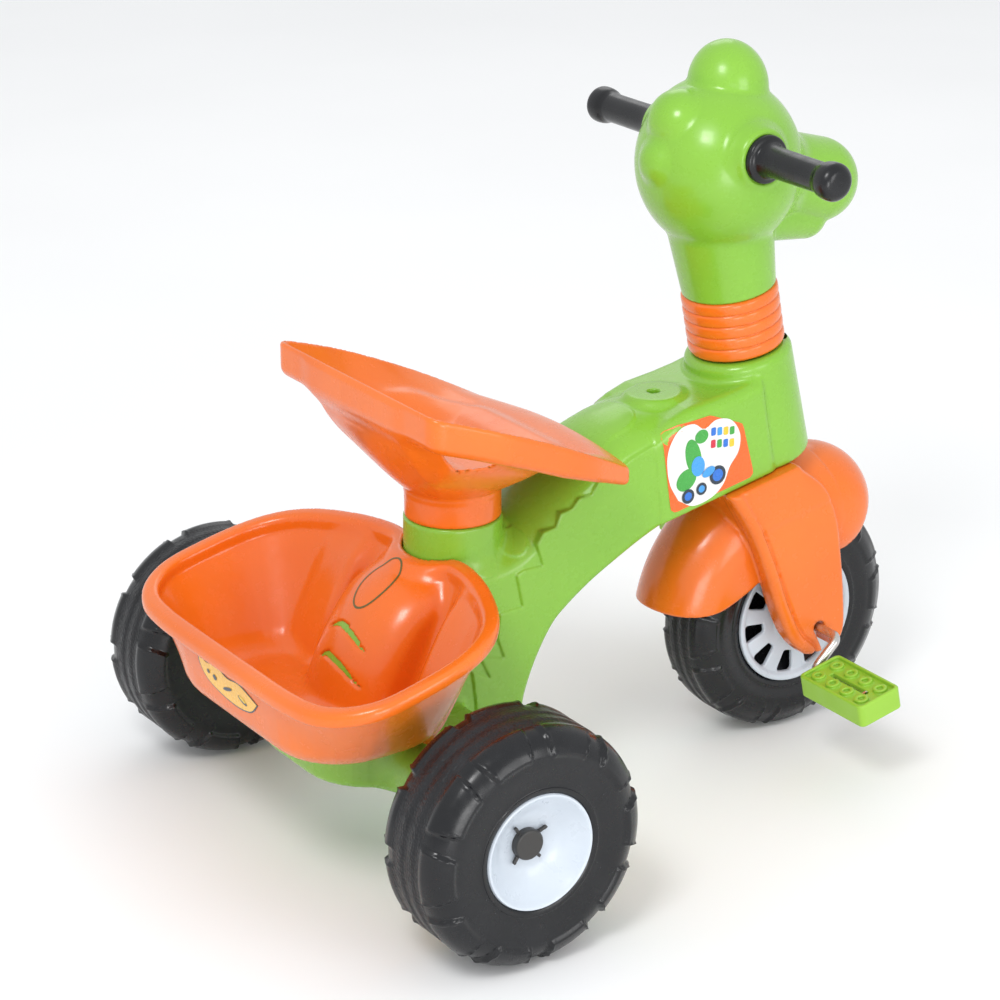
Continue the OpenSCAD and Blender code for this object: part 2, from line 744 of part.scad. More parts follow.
module handlebar() {
  color(steel) on_steering() translate([bar_p, 0, bar_s]) difference() {
    bar_y(bar_r, -bar_len / 2, bar_len / 2);
    bar_y(bar_r - 1.5, -bar_len / 2 - 1, bar_len / 2 + 1);
    cylinder(r = 2.1, h = 30, center = true);
  }
}

// Screw that pins the bar to the top of the steering tube.
module handlebar_screw() {
  color(steel) on_steering() translate([bar_p, 0, bar_s + 10]) screw(4, 2.4, 2, 21);
}

grip_section = [
  [bar_r, 72], [17, 72], [17, 75], [15, 76.5], [11.6, 78], [11.2, 110], [11.8, 144], [13.4, 150],
  [13.9, 158], [12.4, 165.5], [8, 170], [0, 171], [0, 151], [bar_r, 151]
];

module grip() color(dark) on_steering() translate([bar_p, 0, bar_s]) turned_right() polygon(grip_section);

module grip_right() grip();
module grip_left() mirror([0, 1, 0]) grip();

// Round stickers on the front of the head.
module eye() {
  color("white") on_steering() translate([head_c[0], 0, head_c[1]]) rotate([0, 0, -20]) rotate([0, 70, 0]) {
    intersection() {
      difference() {
        sphere(r = head_c[2] + 0.7);
        sphere(r = head_c[2] + 0.1);
      }
      cylinder(r = 13, h = 90);
    }
  }
}

module eye_right() eye();
module eye_left() mirror([0, 1, 0]) eye();

// ---- front wheel and crank ----

module on_front_axle() translate([front_x, 0, front_r]) children();

module front_tyre() {
  color(dark) on_front_axle() turned_right() {
    polygon(tyre_section(front_r, front_half_w, rim_r, front_half_w - 6, front_half_w - 6, 10));
  }
}

spokes = 10;
window_in = 29;
window_out = 52;

// Opening between two spokes, narrower towards the hub.
module rim_window() {
  polygon([[window_in, -2.2], [window_in, 2.2], [window_out - 4, 10], [window_out, 8], [window_out, -8], [window_out - 4, -10]]);
}

module front_rim() {
  color("white") on_front_axle() difference() {
    turned_right() polygon([
      [rod_r + 0.3, front_half_w - 5.9], [rim_r - 0.1, front_half_w - 5.9], [rim_r - 0.1, front_half_w],
      [rim_r - 6, front_half_w], [rim_r - 8, front_half_w - 2.4], [24, front_half_w - 2.4], [20, front_half_w + 3],
      [rod_r + 0.3, front_half_w + 3]
    ]);
    rotate([90, 0, 0]) for (i = [0 : spokes - 1]) rotate(i * 360 / spokes + 9) linear_extrude(60) rim_window();
    drive_slot();
  }
}

// Slot across the hub that takes the pin through the axle.
module drive_slot() translate([0, -front_half_w - 2, 0]) cube([28.4, 5, 4.4], center = true);

module front_rim_right() front_rim();
module front_rim_left() mirror([0, 1, 0]) front_rim();

module drive_pin() {
  color(steel) on_front_axle() difference() {
    translate([0, -front_half_w - 2, 0]) rotate([0, 90, 0]) cylinder(r = 1.9, h = 28, center = true);
    bar_y(rod_r + 0.05, -60, 60);
  }
}

// The right arm points back and down, the left one forwards and up.
crank_angle = 47;
crank_dx = -crank_throw * sin(crank_angle);
crank_dz = -crank_throw * cos(crank_angle);
bend_r = 7;
pedal_in = crank_y + bend_r + 1;
spindle_end = pedal_in + 68;

module elbow() rotate_extrude(angle = 90) translate([bend_r, 0]) circle(r = rod_r);

// One end of the bent rod, with its arm along +X: a bend, the arm, a bend and the spindle.
module crank_end() {
  translate([bend_r, bend_r - crank_y, 0]) rotate([0, 0, 180]) elbow();
  translate([bend_r, -crank_y, 0]) rotate([0, 90, 0]) cylinder(r = rod_r, h = crank_throw - 2 * bend_r);
  translate([crank_throw - bend_r, -crank_y - bend_r, 0]) elbow();
  translate([crank_throw, 0, 0]) bar_y(rod_r, -spindle_end, -crank_y - bend_r);
}

module crank_axle() {
  color(steel) on_front_axle() rotate([0, 90 + crank_angle, 0]) {
    bar_y(rod_r, bend_r - crank_y, crank_y - bend_r);
    crank_end();
    rotate([0, 0, 180]) crank_end();
  }
}

module at_right_pedal() translate([front_x + crank_dx, 0, front_r + crank_dz]) children();
module at_left_pedal() translate([front_x - crank_dx, 0, front_r - crank_dz]) children();

pedal_tilt = 12;

module spindle_clip() {
  difference() {
    bar_y(7.5, -spindle_end + 4, -spindle_end + 6);
    bar_y(rod_r, -300, 300);
  }
}

module spindle_clips() {
  color(steel) {
    at_right_pedal() spindle_clip();
    at_left_pedal() mirror([0, 1, 0]) spindle_clip();
  }
}

// Pedal on the right, lying along its spindle. Both treads are trays with ring studs.
module pedal() {
  tray = 3;
  edge = 3.5;
  color(green) rotate([0, -pedal_tilt, 0]) difference() {
    union() {
      difference() {
        translate([0, -pedal_in - pedal_len / 2, 0]) slab(-pedal_len / 2, pedal_len / 2) polygon(rounded([
          [-pedal_w / 2, -pedal_h / 2, 3], [pedal_w / 2, -pedal_h / 2, 3],
          [pedal_w / 2, pedal_h / 2, 3], [-pedal_w / 2, pedal_h / 2, 3]
        ], 3, 1));
        for (side = [-1, 1]) translate([0, -pedal_in - pedal_len / 2, side * pedal_h / 2]) {
          cube([pedal_w - 2 * edge, pedal_len - 2 * edge, 2 * tray], center = true);
        }
      }
      for (i = [0 : 3], row = [-1, 1]) translate([row * 13.5, -pedal_in - 12 - i * 20, 0]) {
        cylinder(r = 6, h = pedal_h - 1, center = true);
      }
    }
    for (i = [0 : 3], row = [-1, 1], side = [-1, 1]) {
      translate([row * 13.5, -pedal_in - 12 - i * 20, side * (pedal_h / 2 - 1)]) cylinder(r = 3.4, h = 7, center = true);
    }
    bar_y(rod_r + run_gap, -spindle_end - 3, 0);
    translate([0, -pedal_in - pedal_len / 2 + 2, 0]) cube([5, 56, pedal_h + 2], center = true);
    bar_y(8.2, -spindle_end - 3, -spindle_end + 7);
  }
}

module pedal_right() at_right_pedal() pedal();
module pedal_left() at_left_pedal() mirror([0, 1, 0]) pedal();

frame_shell();
steering_bush_lower();
steering_bush_upper();
seat();
seat_screws();
basket();
basket_screws();
basket_decal();
frame_decal_left();
frame_decal_right();
rear_axle();
axle_bush_left();
axle_bush_right();
rear_washers();
axle_push_nuts();
fork();
rear_mudguard();
fork_bolt();
fork_nut();
thrust_washer();
steering_tube();
neck_collar();
head_shell();
handlebar();
handlebar_screw();
grip_left();
grip_right();
front_bush_left();
front_bush_right();
front_bush_screws();
eye_left();
eye_right();
front_tyre();
front_rim_left();
front_rim_right();
crank_axle();
drive_pin();
spindle_clips();
pedal_left();
pedal_right();
rear_tyre_left();
rear_dish_left();
rear_bush_left();
rear_cap_left();
rear_tyre_right();
rear_dish_right();
rear_bush_right();
rear_cap_right();
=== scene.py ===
import json
import math

import bpy
import numpy as np
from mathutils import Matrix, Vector


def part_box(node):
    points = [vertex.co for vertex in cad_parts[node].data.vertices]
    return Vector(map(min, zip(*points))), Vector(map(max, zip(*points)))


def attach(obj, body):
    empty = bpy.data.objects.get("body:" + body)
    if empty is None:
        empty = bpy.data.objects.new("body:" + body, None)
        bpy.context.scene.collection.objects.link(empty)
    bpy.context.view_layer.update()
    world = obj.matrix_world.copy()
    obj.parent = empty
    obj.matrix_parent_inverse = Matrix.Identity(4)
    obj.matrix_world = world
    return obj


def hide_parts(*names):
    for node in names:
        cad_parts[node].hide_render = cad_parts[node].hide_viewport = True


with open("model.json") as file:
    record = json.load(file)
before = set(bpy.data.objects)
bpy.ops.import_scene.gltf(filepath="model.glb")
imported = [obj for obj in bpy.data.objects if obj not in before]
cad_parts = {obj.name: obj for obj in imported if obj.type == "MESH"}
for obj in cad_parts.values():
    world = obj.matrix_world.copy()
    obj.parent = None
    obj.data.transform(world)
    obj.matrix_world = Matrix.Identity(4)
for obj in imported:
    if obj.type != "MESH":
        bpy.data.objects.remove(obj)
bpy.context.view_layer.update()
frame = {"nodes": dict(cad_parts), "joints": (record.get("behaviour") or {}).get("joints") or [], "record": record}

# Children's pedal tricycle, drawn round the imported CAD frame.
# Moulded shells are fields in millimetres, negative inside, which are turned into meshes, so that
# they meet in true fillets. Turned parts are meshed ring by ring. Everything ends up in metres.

MM = 0.001

# ---- places, from the frame ----


def middle(node):
    """The middle of a CAD node's box, in metres."""
    low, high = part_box(node)
    return (low + high) / 2


REAR = middle("rear_axle")
FRONT = middle("front_tyre")
WHEELBASE = (FRONT.x - REAR.x) / MM
FRONT_R = FRONT.z / MM
STEER_AXIS = next(j for j in frame["joints"] if j["name"] == "steer")["axis"]
RAKE = math.atan2(-STEER_AXIS[0], STEER_AXIS[2])
COS, SIN = math.cos(RAKE), math.sin(RAKE)


def from_rear(q):
    """Millimetres ahead of, left of and above the ground under the rear axle, to metres."""
    return np.asarray(q, float) * MM + (REAR.x, 0, 0)


def from_steering(q):
    """Millimetres ahead of the steering axis, left of it, and up it from the front axle, to metres."""
    p, y, s = np.asarray(q, float).T * MM
    return np.stack([FRONT.x + p * COS - s * SIN, y, FRONT.z + p * SIN + s * COS], axis=1)


def steering_of(x, z):
    """Steering coordinates of points given from the rear axle."""
    dx, dz = x - WHEELBASE, z - FRONT_R
    return dx * COS + dz * SIN, dz * COS - dx * SIN


# ---- fields ----


def both(a, b, r=0.0):
    """What a and b share, with its edge rounded to radius r."""
    if r == 0:
        return np.maximum(a, b)
    return np.minimum(-r, np.maximum(a, b)) + np.hypot(np.maximum(a + r, 0), np.maximum(b + r, 0))


def join(a, b, r=0.0):
    """a and b together, with a fillet of radius r where they meet."""
    if r == 0:
        return np.minimum(a, b)
    return np.maximum(r, np.minimum(a, b)) - np.hypot(np.maximum(r - a, 0), np.maximum(r - b, 0))


def carve(a, b, r=0.0):
    """a without b."""
    return both(a, -b, r)


def ramp(d, width):
    """1 well inside d, 0 well outside, and smooth across width."""
    t = np.clip(0.5 - d / width, 0, 1)
    return t * t * (3 - 2 * t)


def measured_line(u, v, points):
    """Distance to an open chain, worked out in full."""
    best = np.full(np.shape(u), np.inf)
    for a, b in zip(points[:-1], points[1:]):
        run_u, run_v = b[0] - a[0], b[1] - a[1]
        t = ((u - a[0]) * run_u + (v - a[1]) * run_v) / (run_u**2 + run_v**2)
        t = np.clip(t, 0, 1)
        best = np.minimum(best, (u - a[0] - t * run_u) ** 2 + (v - a[1] - t * run_v) ** 2)
    return np.sqrt(best)


def measured_outline(u, v, corners):
    """Distance to a closed outline, negative inside, worked out in full."""
    inside = np.zeros(np.shape(u), bool)
    for a, b in zip(corners, corners[1:] + corners[:1]):
        if a[1] != b[1]:
            spans = (a[1] > v) != (b[1] > v)
            inside ^= spans & (u < a[0] + (v - a[1]) * (b[0] - a[0]) / (b[1] - a[1]))
    return np.where(inside, -1.0, 1.0) * measured_line(u, v, corners + corners[:1])


TABLES = {}
TABLE_STEP = 1.25


def looked_up(u, v, points, measure):
    """Reads distances from a fine grid, which is measured once for each set of points."""
    points = tuple((float(a), float(b)) for a, b in points)
    key = (points, measure.__name__)
    if key not in TABLES:
        low = np.clip(np.min(points, axis=0), -240, 440) - 45
        high = np.clip(np.max(points, axis=0), -240, 440) + 45
        axes = [np.arange(a, b, TABLE_STEP) for a, b in zip(low, high)]
        TABLES[key] = low, measure(*np.meshgrid(*axes, indexing="ij"), list(points))
    low, table = TABLES[key]
    at_u, at_v = (u - low[0]) / TABLE_STEP, (v - low[1]) / TABLE_STEP
    held_u, held_v = np.clip(at_u, 0, table.shape[0] - 1.001), np.clip(at_v, 0, table.shape[1] - 1.001)
    beyond = np.hypot(at_u - held_u, at_v - held_v) * TABLE_STEP
    i, j = held_u.astype(int), held_v.astype(int)
    f, g = held_u - i, held_v - j
    near = table[i, j] * (1 - g) + table[i, j + 1] * g
    far = table[i + 1, j] * (1 - g) + table[i + 1, j + 1] * g
    value = near * (1 - f) + far * f
    return value + np.where(value > 0, beyond, -beyond)


def line(u, v, points):
    """Distance to an open chain of straight stretches."""
    return looked_up(u, v, points, measured_line)


def outline(u, v, corners):
    """Distance to a closed outline, negative inside."""
    return looked_up(u, v, corners, measured_outline)


def smooth(points, steps=6):
    """An open curve through all the points."""
    p = np.asarray(points, float)
    p = np.vstack([2 * p[0] - p[1], p, 2 * p[-1] - p[-2]])
    t = (np.arange(steps) / steps)[:, None]
    out = []
    for a, b, c, d in zip(p[:-3], p[1:-2], p[2:-1], p[3:]):
        squared, cubed = 2 * a - 5 * b + 4 * c - d, 3 * b - a - 3 * c + d
        out.append(0.5 * (2 * b + (c - a) * t + squared * t**2 + cubed * t**3))
    return [tuple(q) for q in np.vstack(out + [p[-2:-1]])]


def rounded(corners, steps=8):
    """A closed outline with arcs at its corners, each given as (u, v, radius)."""
    out = []
    count = len(corners)
    for i in range(count):
        a, b, c = (np.array(corners[(i + k) % count][:2], float) for k in (-1, 0, 1))
        u, v = (a - b) / np.linalg.norm(a - b), (c - b) / np.linalg.norm(c - b)
        half = math.acos(max(-1, min(1, float(u @ v)))) / 2
        radius = corners[i][2]
        centre = b + (u + v) / np.linalg.norm(u + v) * radius / math.sin(half)
        start, end = b + u * radius / math.tan(half) - centre, b + v * radius / math.tan(half) - centre
        angle = math.atan2(start[1], start[0])
        turn = (math.atan2(end[1], end[0]) - angle + math.pi) % (2 * math.pi) - math.pi
        for k in range(steps + 1):
            at = angle + turn * k / steps
            out.append((centre[0] + radius * math.cos(at), centre[1] + radius * math.sin(at)))
    return out


def ball(q, centre, r):
    return np.linalg.norm(q - np.asarray(centre, float), axis=1) - r


def egg(q, centre, halves):
    """Distance, nearly, to an egg shape with the three half lengths."""
    q = (q - np.asarray(centre, float)) / np.asarray(halves, float)
    near, slope = np.linalg.norm(q, axis=1), np.linalg.norm(q / np.asarray(halves, float), axis=1)
    return near * (near - 1) / np.maximum(slope, 1e-6)


def bar(q, a, b, ra, rb):
    """A round-ended bar from a to b that tapers."""
    a, b = np.asarray(a, float), np.asarray(b, float)
    along = np.clip((q - a) @ (b - a) / ((b - a) @ (b - a)), 0, 1)
    return np.linalg.norm(q - a - along[:, None] * (b - a), axis=1) - (ra + (rb - ra) * along)


def dome(d, y, rise, half):
    """A ridge: straight sides at half, and over them half an ellipse that ends where d is 0."""
    up = np.maximum(rise + d, 0)
    near = np.hypot(up / rise, y / half)
    slope = np.hypot(up / rise**2, y / half**2)
    return near * (near - 1) / np.maximum(slope, 1e-6)


# ---- meshes ----

EDGES_OF_CELL = [
    (i, j) for i in range(8) for j in range(i + 1, 8) if bin(i ^ j).count("1") == 1
]
CORNERS_OF_CELL = np.array([[(i >> k) & 1 for k in range(3)] for i in range(8)])


def new_object(name, points, faces, smooth_faces=True):
    mesh = bpy.data.meshes.new(name)
    mesh.from_pydata(np.asarray(points, float).tolist(), [], np.asarray(faces).tolist())
    mesh.validate()
    mesh.polygons.foreach_set("use_smooth", [smooth_faces] * len(mesh.polygons))
    mesh.update()
    piece = bpy.data.objects.new(name, mesh)
    bpy.context.scene.collection.objects.link(piece)
    return piece


def sampled(field, low, counts, cell):
    """The field on a grid, worked out in full only in the blocks near its surface."""
    block = 4
    grid = np.stack(np.meshgrid(*[np.arange(c) for c in counts], indexing="ij"), axis=-1).reshape(-1, 3)
    centres = low + cell * (grid * block + (block - 1) / 2)
    rough = field(centres)
    values = np.sign(rough).reshape(counts).astype(np.float32) * cell * block
    for axis in range(3):
        values = np.repeat(values, block, axis=axis)
    near = grid[np.abs(rough) < cell * block * 1.35]
    steps = np.stack(np.meshgrid(*[np.arange(block)] * 3, indexing="ij"), axis=-1).reshape(-1, 3)
    for part in np.array_split(near, max(1, len(near) // 6000)):
        index = (part[:, None, :] * block + steps[None]).reshape(-1, 3)
        values[tuple(index.T)] = field(low + cell * index)
    return values


def surface(values, low, cell):
    """Points and four-sided faces of the surface where the sampled field is 0."""
    inside = values < 0
    count = np.zeros([n - 1 for n in values.shape], np.uint8)
    for dx, dy, dz in CORNERS_OF_CELL:
        count += inside[dx : dx + count.shape[0], dy : dy + count.shape[1], dz : dz + count.shape[2]]
    cells = np.argwhere((count > 0) & (count < 8))
    number = np.full(count.shape, -1, np.int32)
    number[tuple(cells.T)] = np.arange(len(cells))
    corner = np.stack([values[tuple((cells + c).T)] for c in CORNERS_OF_CELL], axis=1)
    total, hits = np.zeros((len(cells), 3)), np.zeros(len(cells))
    for i, j in EDGES_OF_CELL:
        a, b = corner[:, i], corner[:, j]
        crossed = (a < 0) != (b < 0)
        t = np.where(crossed, a / np.where(crossed, a - b, 1), 0)
        start, end = CORNERS_OF_CELL[i], CORNERS_OF_CELL[j]
        total += crossed[:, None] * (start + t[:, None] * (end - start))
        hits += crossed
    points = low + cell * (cells + total / hits[:, None])
    faces = []
    for axis in range(3):
        e1, e2 = np.eye(3, dtype=int)[(axis + 1) % 3], np.eye(3, dtype=int)[(axis + 2) % 3]
        lower = np.take(inside, range(inside.shape[axis] - 1), axis=axis)
        upper = np.take(inside, range(1, inside.shape[axis]), axis=axis)
        q = np.argwhere(lower != upper)
        along, across = q @ e1, q @ e2
        within = (along > 0) & (across > 0)
        within &= (along < count.shape[(axis + 1) % 3]) & (across < count.shape[(axis + 2) % 3])
        q = q[within]
        ring = [number[tuple((q - o).T)] for o in (0 * e1, e1, e1 + e2, e2)]
        ring = np.stack(ring, axis=1)
        outward = lower[tuple(q.T)]
        faces.append(np.where(outward[:, None], ring, ring[:, ::-1]))
    return points, np.vstack(faces)


def slope_of(field, points, h=0.2):
    """The field's slope at each point."""
    return np.stack([(field(points + h * e) - field(points - h * e)) / (2 * h) for e in np.eye(3)], axis=1)


def moulded(name, field, low, high, cell, place, thin=False):
    """A closed mesh of a field, with its points drawn onto the true surface."""
    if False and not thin:
        cell = max(cell * 1.8, 2.6)
    low = np.asarray(low, float)
    counts = np.ceil((np.asarray(high, float) - low) / (cell * 4)).astype(int)
    points, faces = surface(sampled(field, low, counts, cell), low, cell)
    slope = slope_of(field, points)
    steep = np.maximum((slope**2).sum(1), 0.05)
    for _ in range(2):
        points -= np.clip((field(points) / steep)[:, None] * slope, -0.6 * cell, 0.6 * cell)
    return new_object(name, place(points), faces)


def turned(name, section, steps, place, bulge=None):
    """A closed section of (radius, distance along Y) turned about Y. bulge moves points outwards."""
    section = np.asarray(section, float)
    count = len(section)
    angle = np.arange(steps) * 2 * math.pi / steps
    ring = np.repeat(section[None], steps, axis=0)
    turn = np.repeat(angle[:, None], count, axis=1)
    if bulge is not None:
        ring = bulge(ring, turn)
    points = np.stack([ring[..., 0] * np.cos(turn), ring[..., 1], ring[..., 0] * np.sin(turn)], axis=-1)
    i, j = np.meshgrid(np.arange(steps), np.arange(count), indexing="ij")
    i2, j2 = (i + 1) % steps, (j + 1) % count
    faces = np.stack([i * count + j, i2 * count + j, i2 * count + j2, i * count + j2], axis=-1)
    return new_object(name, place(points.reshape(-1, 3)), faces.reshape(-1, 4))


# ---- materials ----


class Shader:
    """A Principled material whose colour, roughness and bump come from nodes."""

    def __init__(self, name, colour, roughness, **constants):
        self.material = bpy.data.materials.new(name)
        self.material.use_nodes = True
        self.tree = self.material.node_tree
        self.surface = self.tree.nodes["Principled BSDF"]
        self.colour = (*colour, 1)
        self.surface.inputs["Base Color"].default_value = self.colour
        self.surface.inputs["Roughness"].default_value = roughness
        for socket, value in constants.items():
            self.surface.inputs[socket.replace("_", " ")].default_value = value
        self.place = self.node("ShaderNodeTexCoord").outputs["Object"]

    def node(self, kind, **settings):
        made = self.tree.nodes.new(kind)
        for key, value in settings.items():
            setattr(made, key, value)
        return made

    def link(self, output, target):
        self.tree.links.new(output, target)

    def noise(self, scale, detail=3.0, rough=0.5):
        made = self.node("ShaderNodeTexNoise")
        made.inputs["Scale"].default_value = scale
        made.inputs["Detail"].default_value = detail
        made.inputs["Roughness"].default_value = rough
        self.link(self.place, made.inputs["Vector"])
        return made.outputs["Fac"]

    def spread(self, value, low, high, start=0.3, end=0.7):
        made = self.node("ShaderNodeMapRange")
        for socket, number in (("From Min", start), ("From Max", end), ("To Min", low), ("To Max", high)):
            made.inputs[socket].default_value = number
        self.link(value, made.inputs["Value"])
        return made.outputs["Result"]

    def blended(self, share, a, b):
        made = self.node("ShaderNodeMix", data_type="RGBA")
        self.link(share, made.inputs[0])
        for socket, colour in ((made.inputs[6], a), (made.inputs[7], b)):
            if isinstance(colour, tuple):
                socket.default_value = colour
            else:
                self.link(colour, socket)
        return made.outputs[2]

    def bumped(self, height, strength, distance):
        made = self.node("ShaderNodeBump")
        made.inputs["Strength"].default_value = strength
        made.inputs["Distance"].default_value = distance
        self.link(height, made.inputs["Height"])
        previous = self.surface.inputs["Normal"]
        if previous.is_linked:
            self.link(previous.links[0].from_socket, made.inputs["Normal"])
        self.link(made.outputs["Normal"], previous)

    def coloured(self, share, a, b):
        self.link(self.blended(share, a, b), self.surface.inputs["Base Color"])

    def roughened(self, value):
        self.link(value, self.surface.inputs["Roughness"])

    def tone(self, factor):
        return tuple(min(c * f, 1.0) for c, f in zip(self.colour, factor)) + (1,)


def moulded_plastic(name, colour, roughness, dark, light, grain=0.35):
    """Glossy polyethylene: slow changes of tone, faint flow streaks, fine orange peel and handling marks."""
    shader = Shader(name, colour, roughness, IOR=1.5, Coat_Weight=0.18, Coat_Roughness=0.12)
    clouds = shader.spread(shader.noise(9, 2), 0, 1)
    tone = shader.blended(clouds, shader.tone(dark), shader.tone(light))
    streaks = shader.spread(shader.noise(140, 5, 0.65), 0, 0.22, 0.45, 0.75)
    shader.coloured(streaks, tone, shader.tone(dark))
    marks = shader.noise(60, 4, 0.6)
    shader.roughened(shader.spread(marks, roughness * 0.8, roughness * 1.3))
    shader.bumped(shader.noise(420, 2), grain * 0.25, 0.0003)
    shader.bumped(shader.noise(38, 2), 0.12, 0.0012)
    return shader.material


def tyre_plastic(name):
    """Black blow-moulded tyre: satin skin with a fine grain and a little dust."""
    shader = Shader(name, (0.0045, 0.005, 0.0065), 0.22, IOR=1.46)
    dust = shader.spread(shader.noise(26, 5, 0.6), 0, 0.3, 0.45, 0.8)
    shader.coloured(dust, shader.colour, (0.02, 0.02, 0.023, 1))
    shader.roughened(shader.spread(shader.noise(90, 4, 0.6), 0.18, 0.33))
    shader.bumped(shader.noise(900, 2), 0.12, 0.0002)
    return shader.material


def plated_steel(name):
    """Zinc-plated rod: brushed, with a slight yellow and grey mottle."""
    shader = Shader(name, (0.55, 0.54, 0.52), 0.3, Metallic=1.0)
    mottle = shader.spread(shader.noise(120, 4, 0.6), 0, 1)
    shader.coloured(mottle, (0.50, 0.47, 0.43, 1), (0.66, 0.66, 0.66, 1))
    shader.roughened(shader.spread(shader.noise(300, 3), 0.22, 0.42))
    shader.bumped(shader.noise(1500, 2), 0.1, 0.0001)
    return shader.material


def vinyl(name, colour):
    """Printed sticker film."""
    shader = Shader(name, colour, 0.25, IOR=1.48, Coat_Weight=0.3, Coat_Roughness=0.1)
    fade = shader.spread(shader.noise(45, 3), 0, 1)
    shader.coloured(fade, shader.tone((0.93, 0.93, 0.93)), shader.colour)
    shader.roughened(shader.spread(shader.noise(150, 3), 0.2, 0.34))
    shader.bumped(shader.noise(500, 2), 0.08, 0.0001)
    return shader.material


GREEN = moulded_plastic("green_plastic", (0.215, 0.475, 0.036), 0.26, (0.93, 0.95, 0.8), (1.06, 1.03, 1.2))
ORANGE = moulded_plastic("orange_plastic", (0.79, 0.155, 0.009), 0.24, (0.95, 0.9, 0.8), (1.04, 1.1, 1.3))
PEDAL_GREEN = moulded_plastic(
    "pedal_green", (0.28, 0.53, 0.035), 0.42, (0.93, 0.95, 0.8), (1.05, 1.03, 1.2), 0.8
)
WHITE = moulded_plastic("white_plastic", (0.56, 0.61, 0.67), 0.3, (0.96, 0.97, 0.98), (1.02, 1.02, 1.02))
NYLON = moulded_plastic("nylon", (0.72, 0.72, 0.68), 0.45, (0.94, 0.94, 0.92), (1.03, 1.03, 1.03), 0.6)
TYRE = tyre_plastic("tyre_black")
GRIP = tyre_plastic("grip_black")
STEEL = plated_steel("steel")


def knurled(name):
    """Tread band: the tyre's plastic with a fine woven grain."""
    shader = Shader(name, (0.008, 0.0085, 0.01), 0.38, IOR=1.4)
    dust = shader.spread(shader.noise(60, 4), 0, 0.5)
    shader.coloured(dust, shader.colour, (0.022, 0.022, 0.025, 1))
    shader.roughened(shader.spread(shader.noise(120, 3), 0.32, 0.5))
    cells = shader.node("ShaderNodeTexVoronoi", feature="F1")
    cells.inputs["Scale"].default_value = 420
    shader.link(shader.place, cells.inputs["Vector"])
    shader.bumped(cells.outputs["Distance"], 0.7, 0.0008)
    return shader.material


KNURL = knurled("knurled_tread")
CAP = moulded_plastic("cap_grey", (0.028, 0.026, 0.024), 0.42, (0.9, 0.9, 0.9), (1.15, 1.15, 1.15), 0.5)


def finished(piece, body, material, slot, *nodes):
    """Gives a piece its material and its body, and hides the CAD nodes it stands for."""
    piece.data.materials.clear()
    piece.data.materials.append(material)
    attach(piece, body)
    if nodes:
        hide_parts(*nodes)
    return piece


# ---- frame: arch, housing, head tube, seat post, tail and axle housings ----

ARCH_HALF = 48.2
PANEL_HALF = 50.0
ARCH_RISE = 22.0
HOUSING_HALF = 52.0
POST_X, POST_R, POST_TOP = 94.0, 41.0, 270.0
TAIL_LOW, TAIL_HIGH = 84.0, 123.6
BOSS_X, BOSS_TOP = 297.0, 336.0
TUBE_LOW, TUBE_HIGH = 157.0, 258.6
BOSS_R, DIMPLE_R = 25, 5.5
WING_HALF = 184
AXLE_HIGH = 100
FAR = 700.0

RIDGE = smooth([
    (-28, 40), (-28, 100), (-27, 126), (-19, 154), (-4, 181), (17, 205), (43, 228), (72, 240), (104, 243),
    (128, 250), (152, 270), (185, 297), (222, 317), (256, 328), (290, 333), (330, 334)
]) + [(FAR, 334), (FAR, -FAR), (-28, -FAR)]
UNDERSIDE = smooth([
    (128, TAIL_LOW), (131, 100), (135, 118), (146, 145), (161, 170), (176, 184), (201, 201), (231, 217),
    (256, 229), (284, 240)
]) + [(FAR, 240), (FAR, FAR), (-FAR, FAR), (-FAR, TAIL_LOW)]
# The flat side panel ends at the back in a row of teeth.
TEETH = [
    (268, 312), (240, 303), (226, 296), (207, 291), (198, 279), (186, 278.5), (179, 271), (168, 269),
    (163, 258), (151, 256), (144, 246), (150, 227), (131, 227), (124, 224), (130, 195), (108, 194),
    (105, 173), (112, 153), (88, 160), (98, 138), (80, 150), (84, 118)
]
PANEL = TEETH + [(84, 60), (300, 60), (300, 312)]
HOUSING = [
    (200, 100), (200, 300), (260, 314), (280, 326), (300, 333),
    (330, 337), (352, 341), (380, 348), (424, 100)
]
HOUSING_BACK = [(259, 360), (262.5, 304), (269, 246), (271, 180), (500, 180), (500, 360)]
TAIL_PLAN = rounded([(-66, -88, 62), (70, -88, 22), (70, 88, 22), (-66, 88, 62)])
SCALES = [(98, 239, 12.5), (128, 250, 12.5)]
TOP_PATCH = rounded(
    [(205, -38, 6), (236, -30, 4), (266, -36, 22), (266, 36, 22), (236, 30, 4), (205, 38, 6)], 5
)


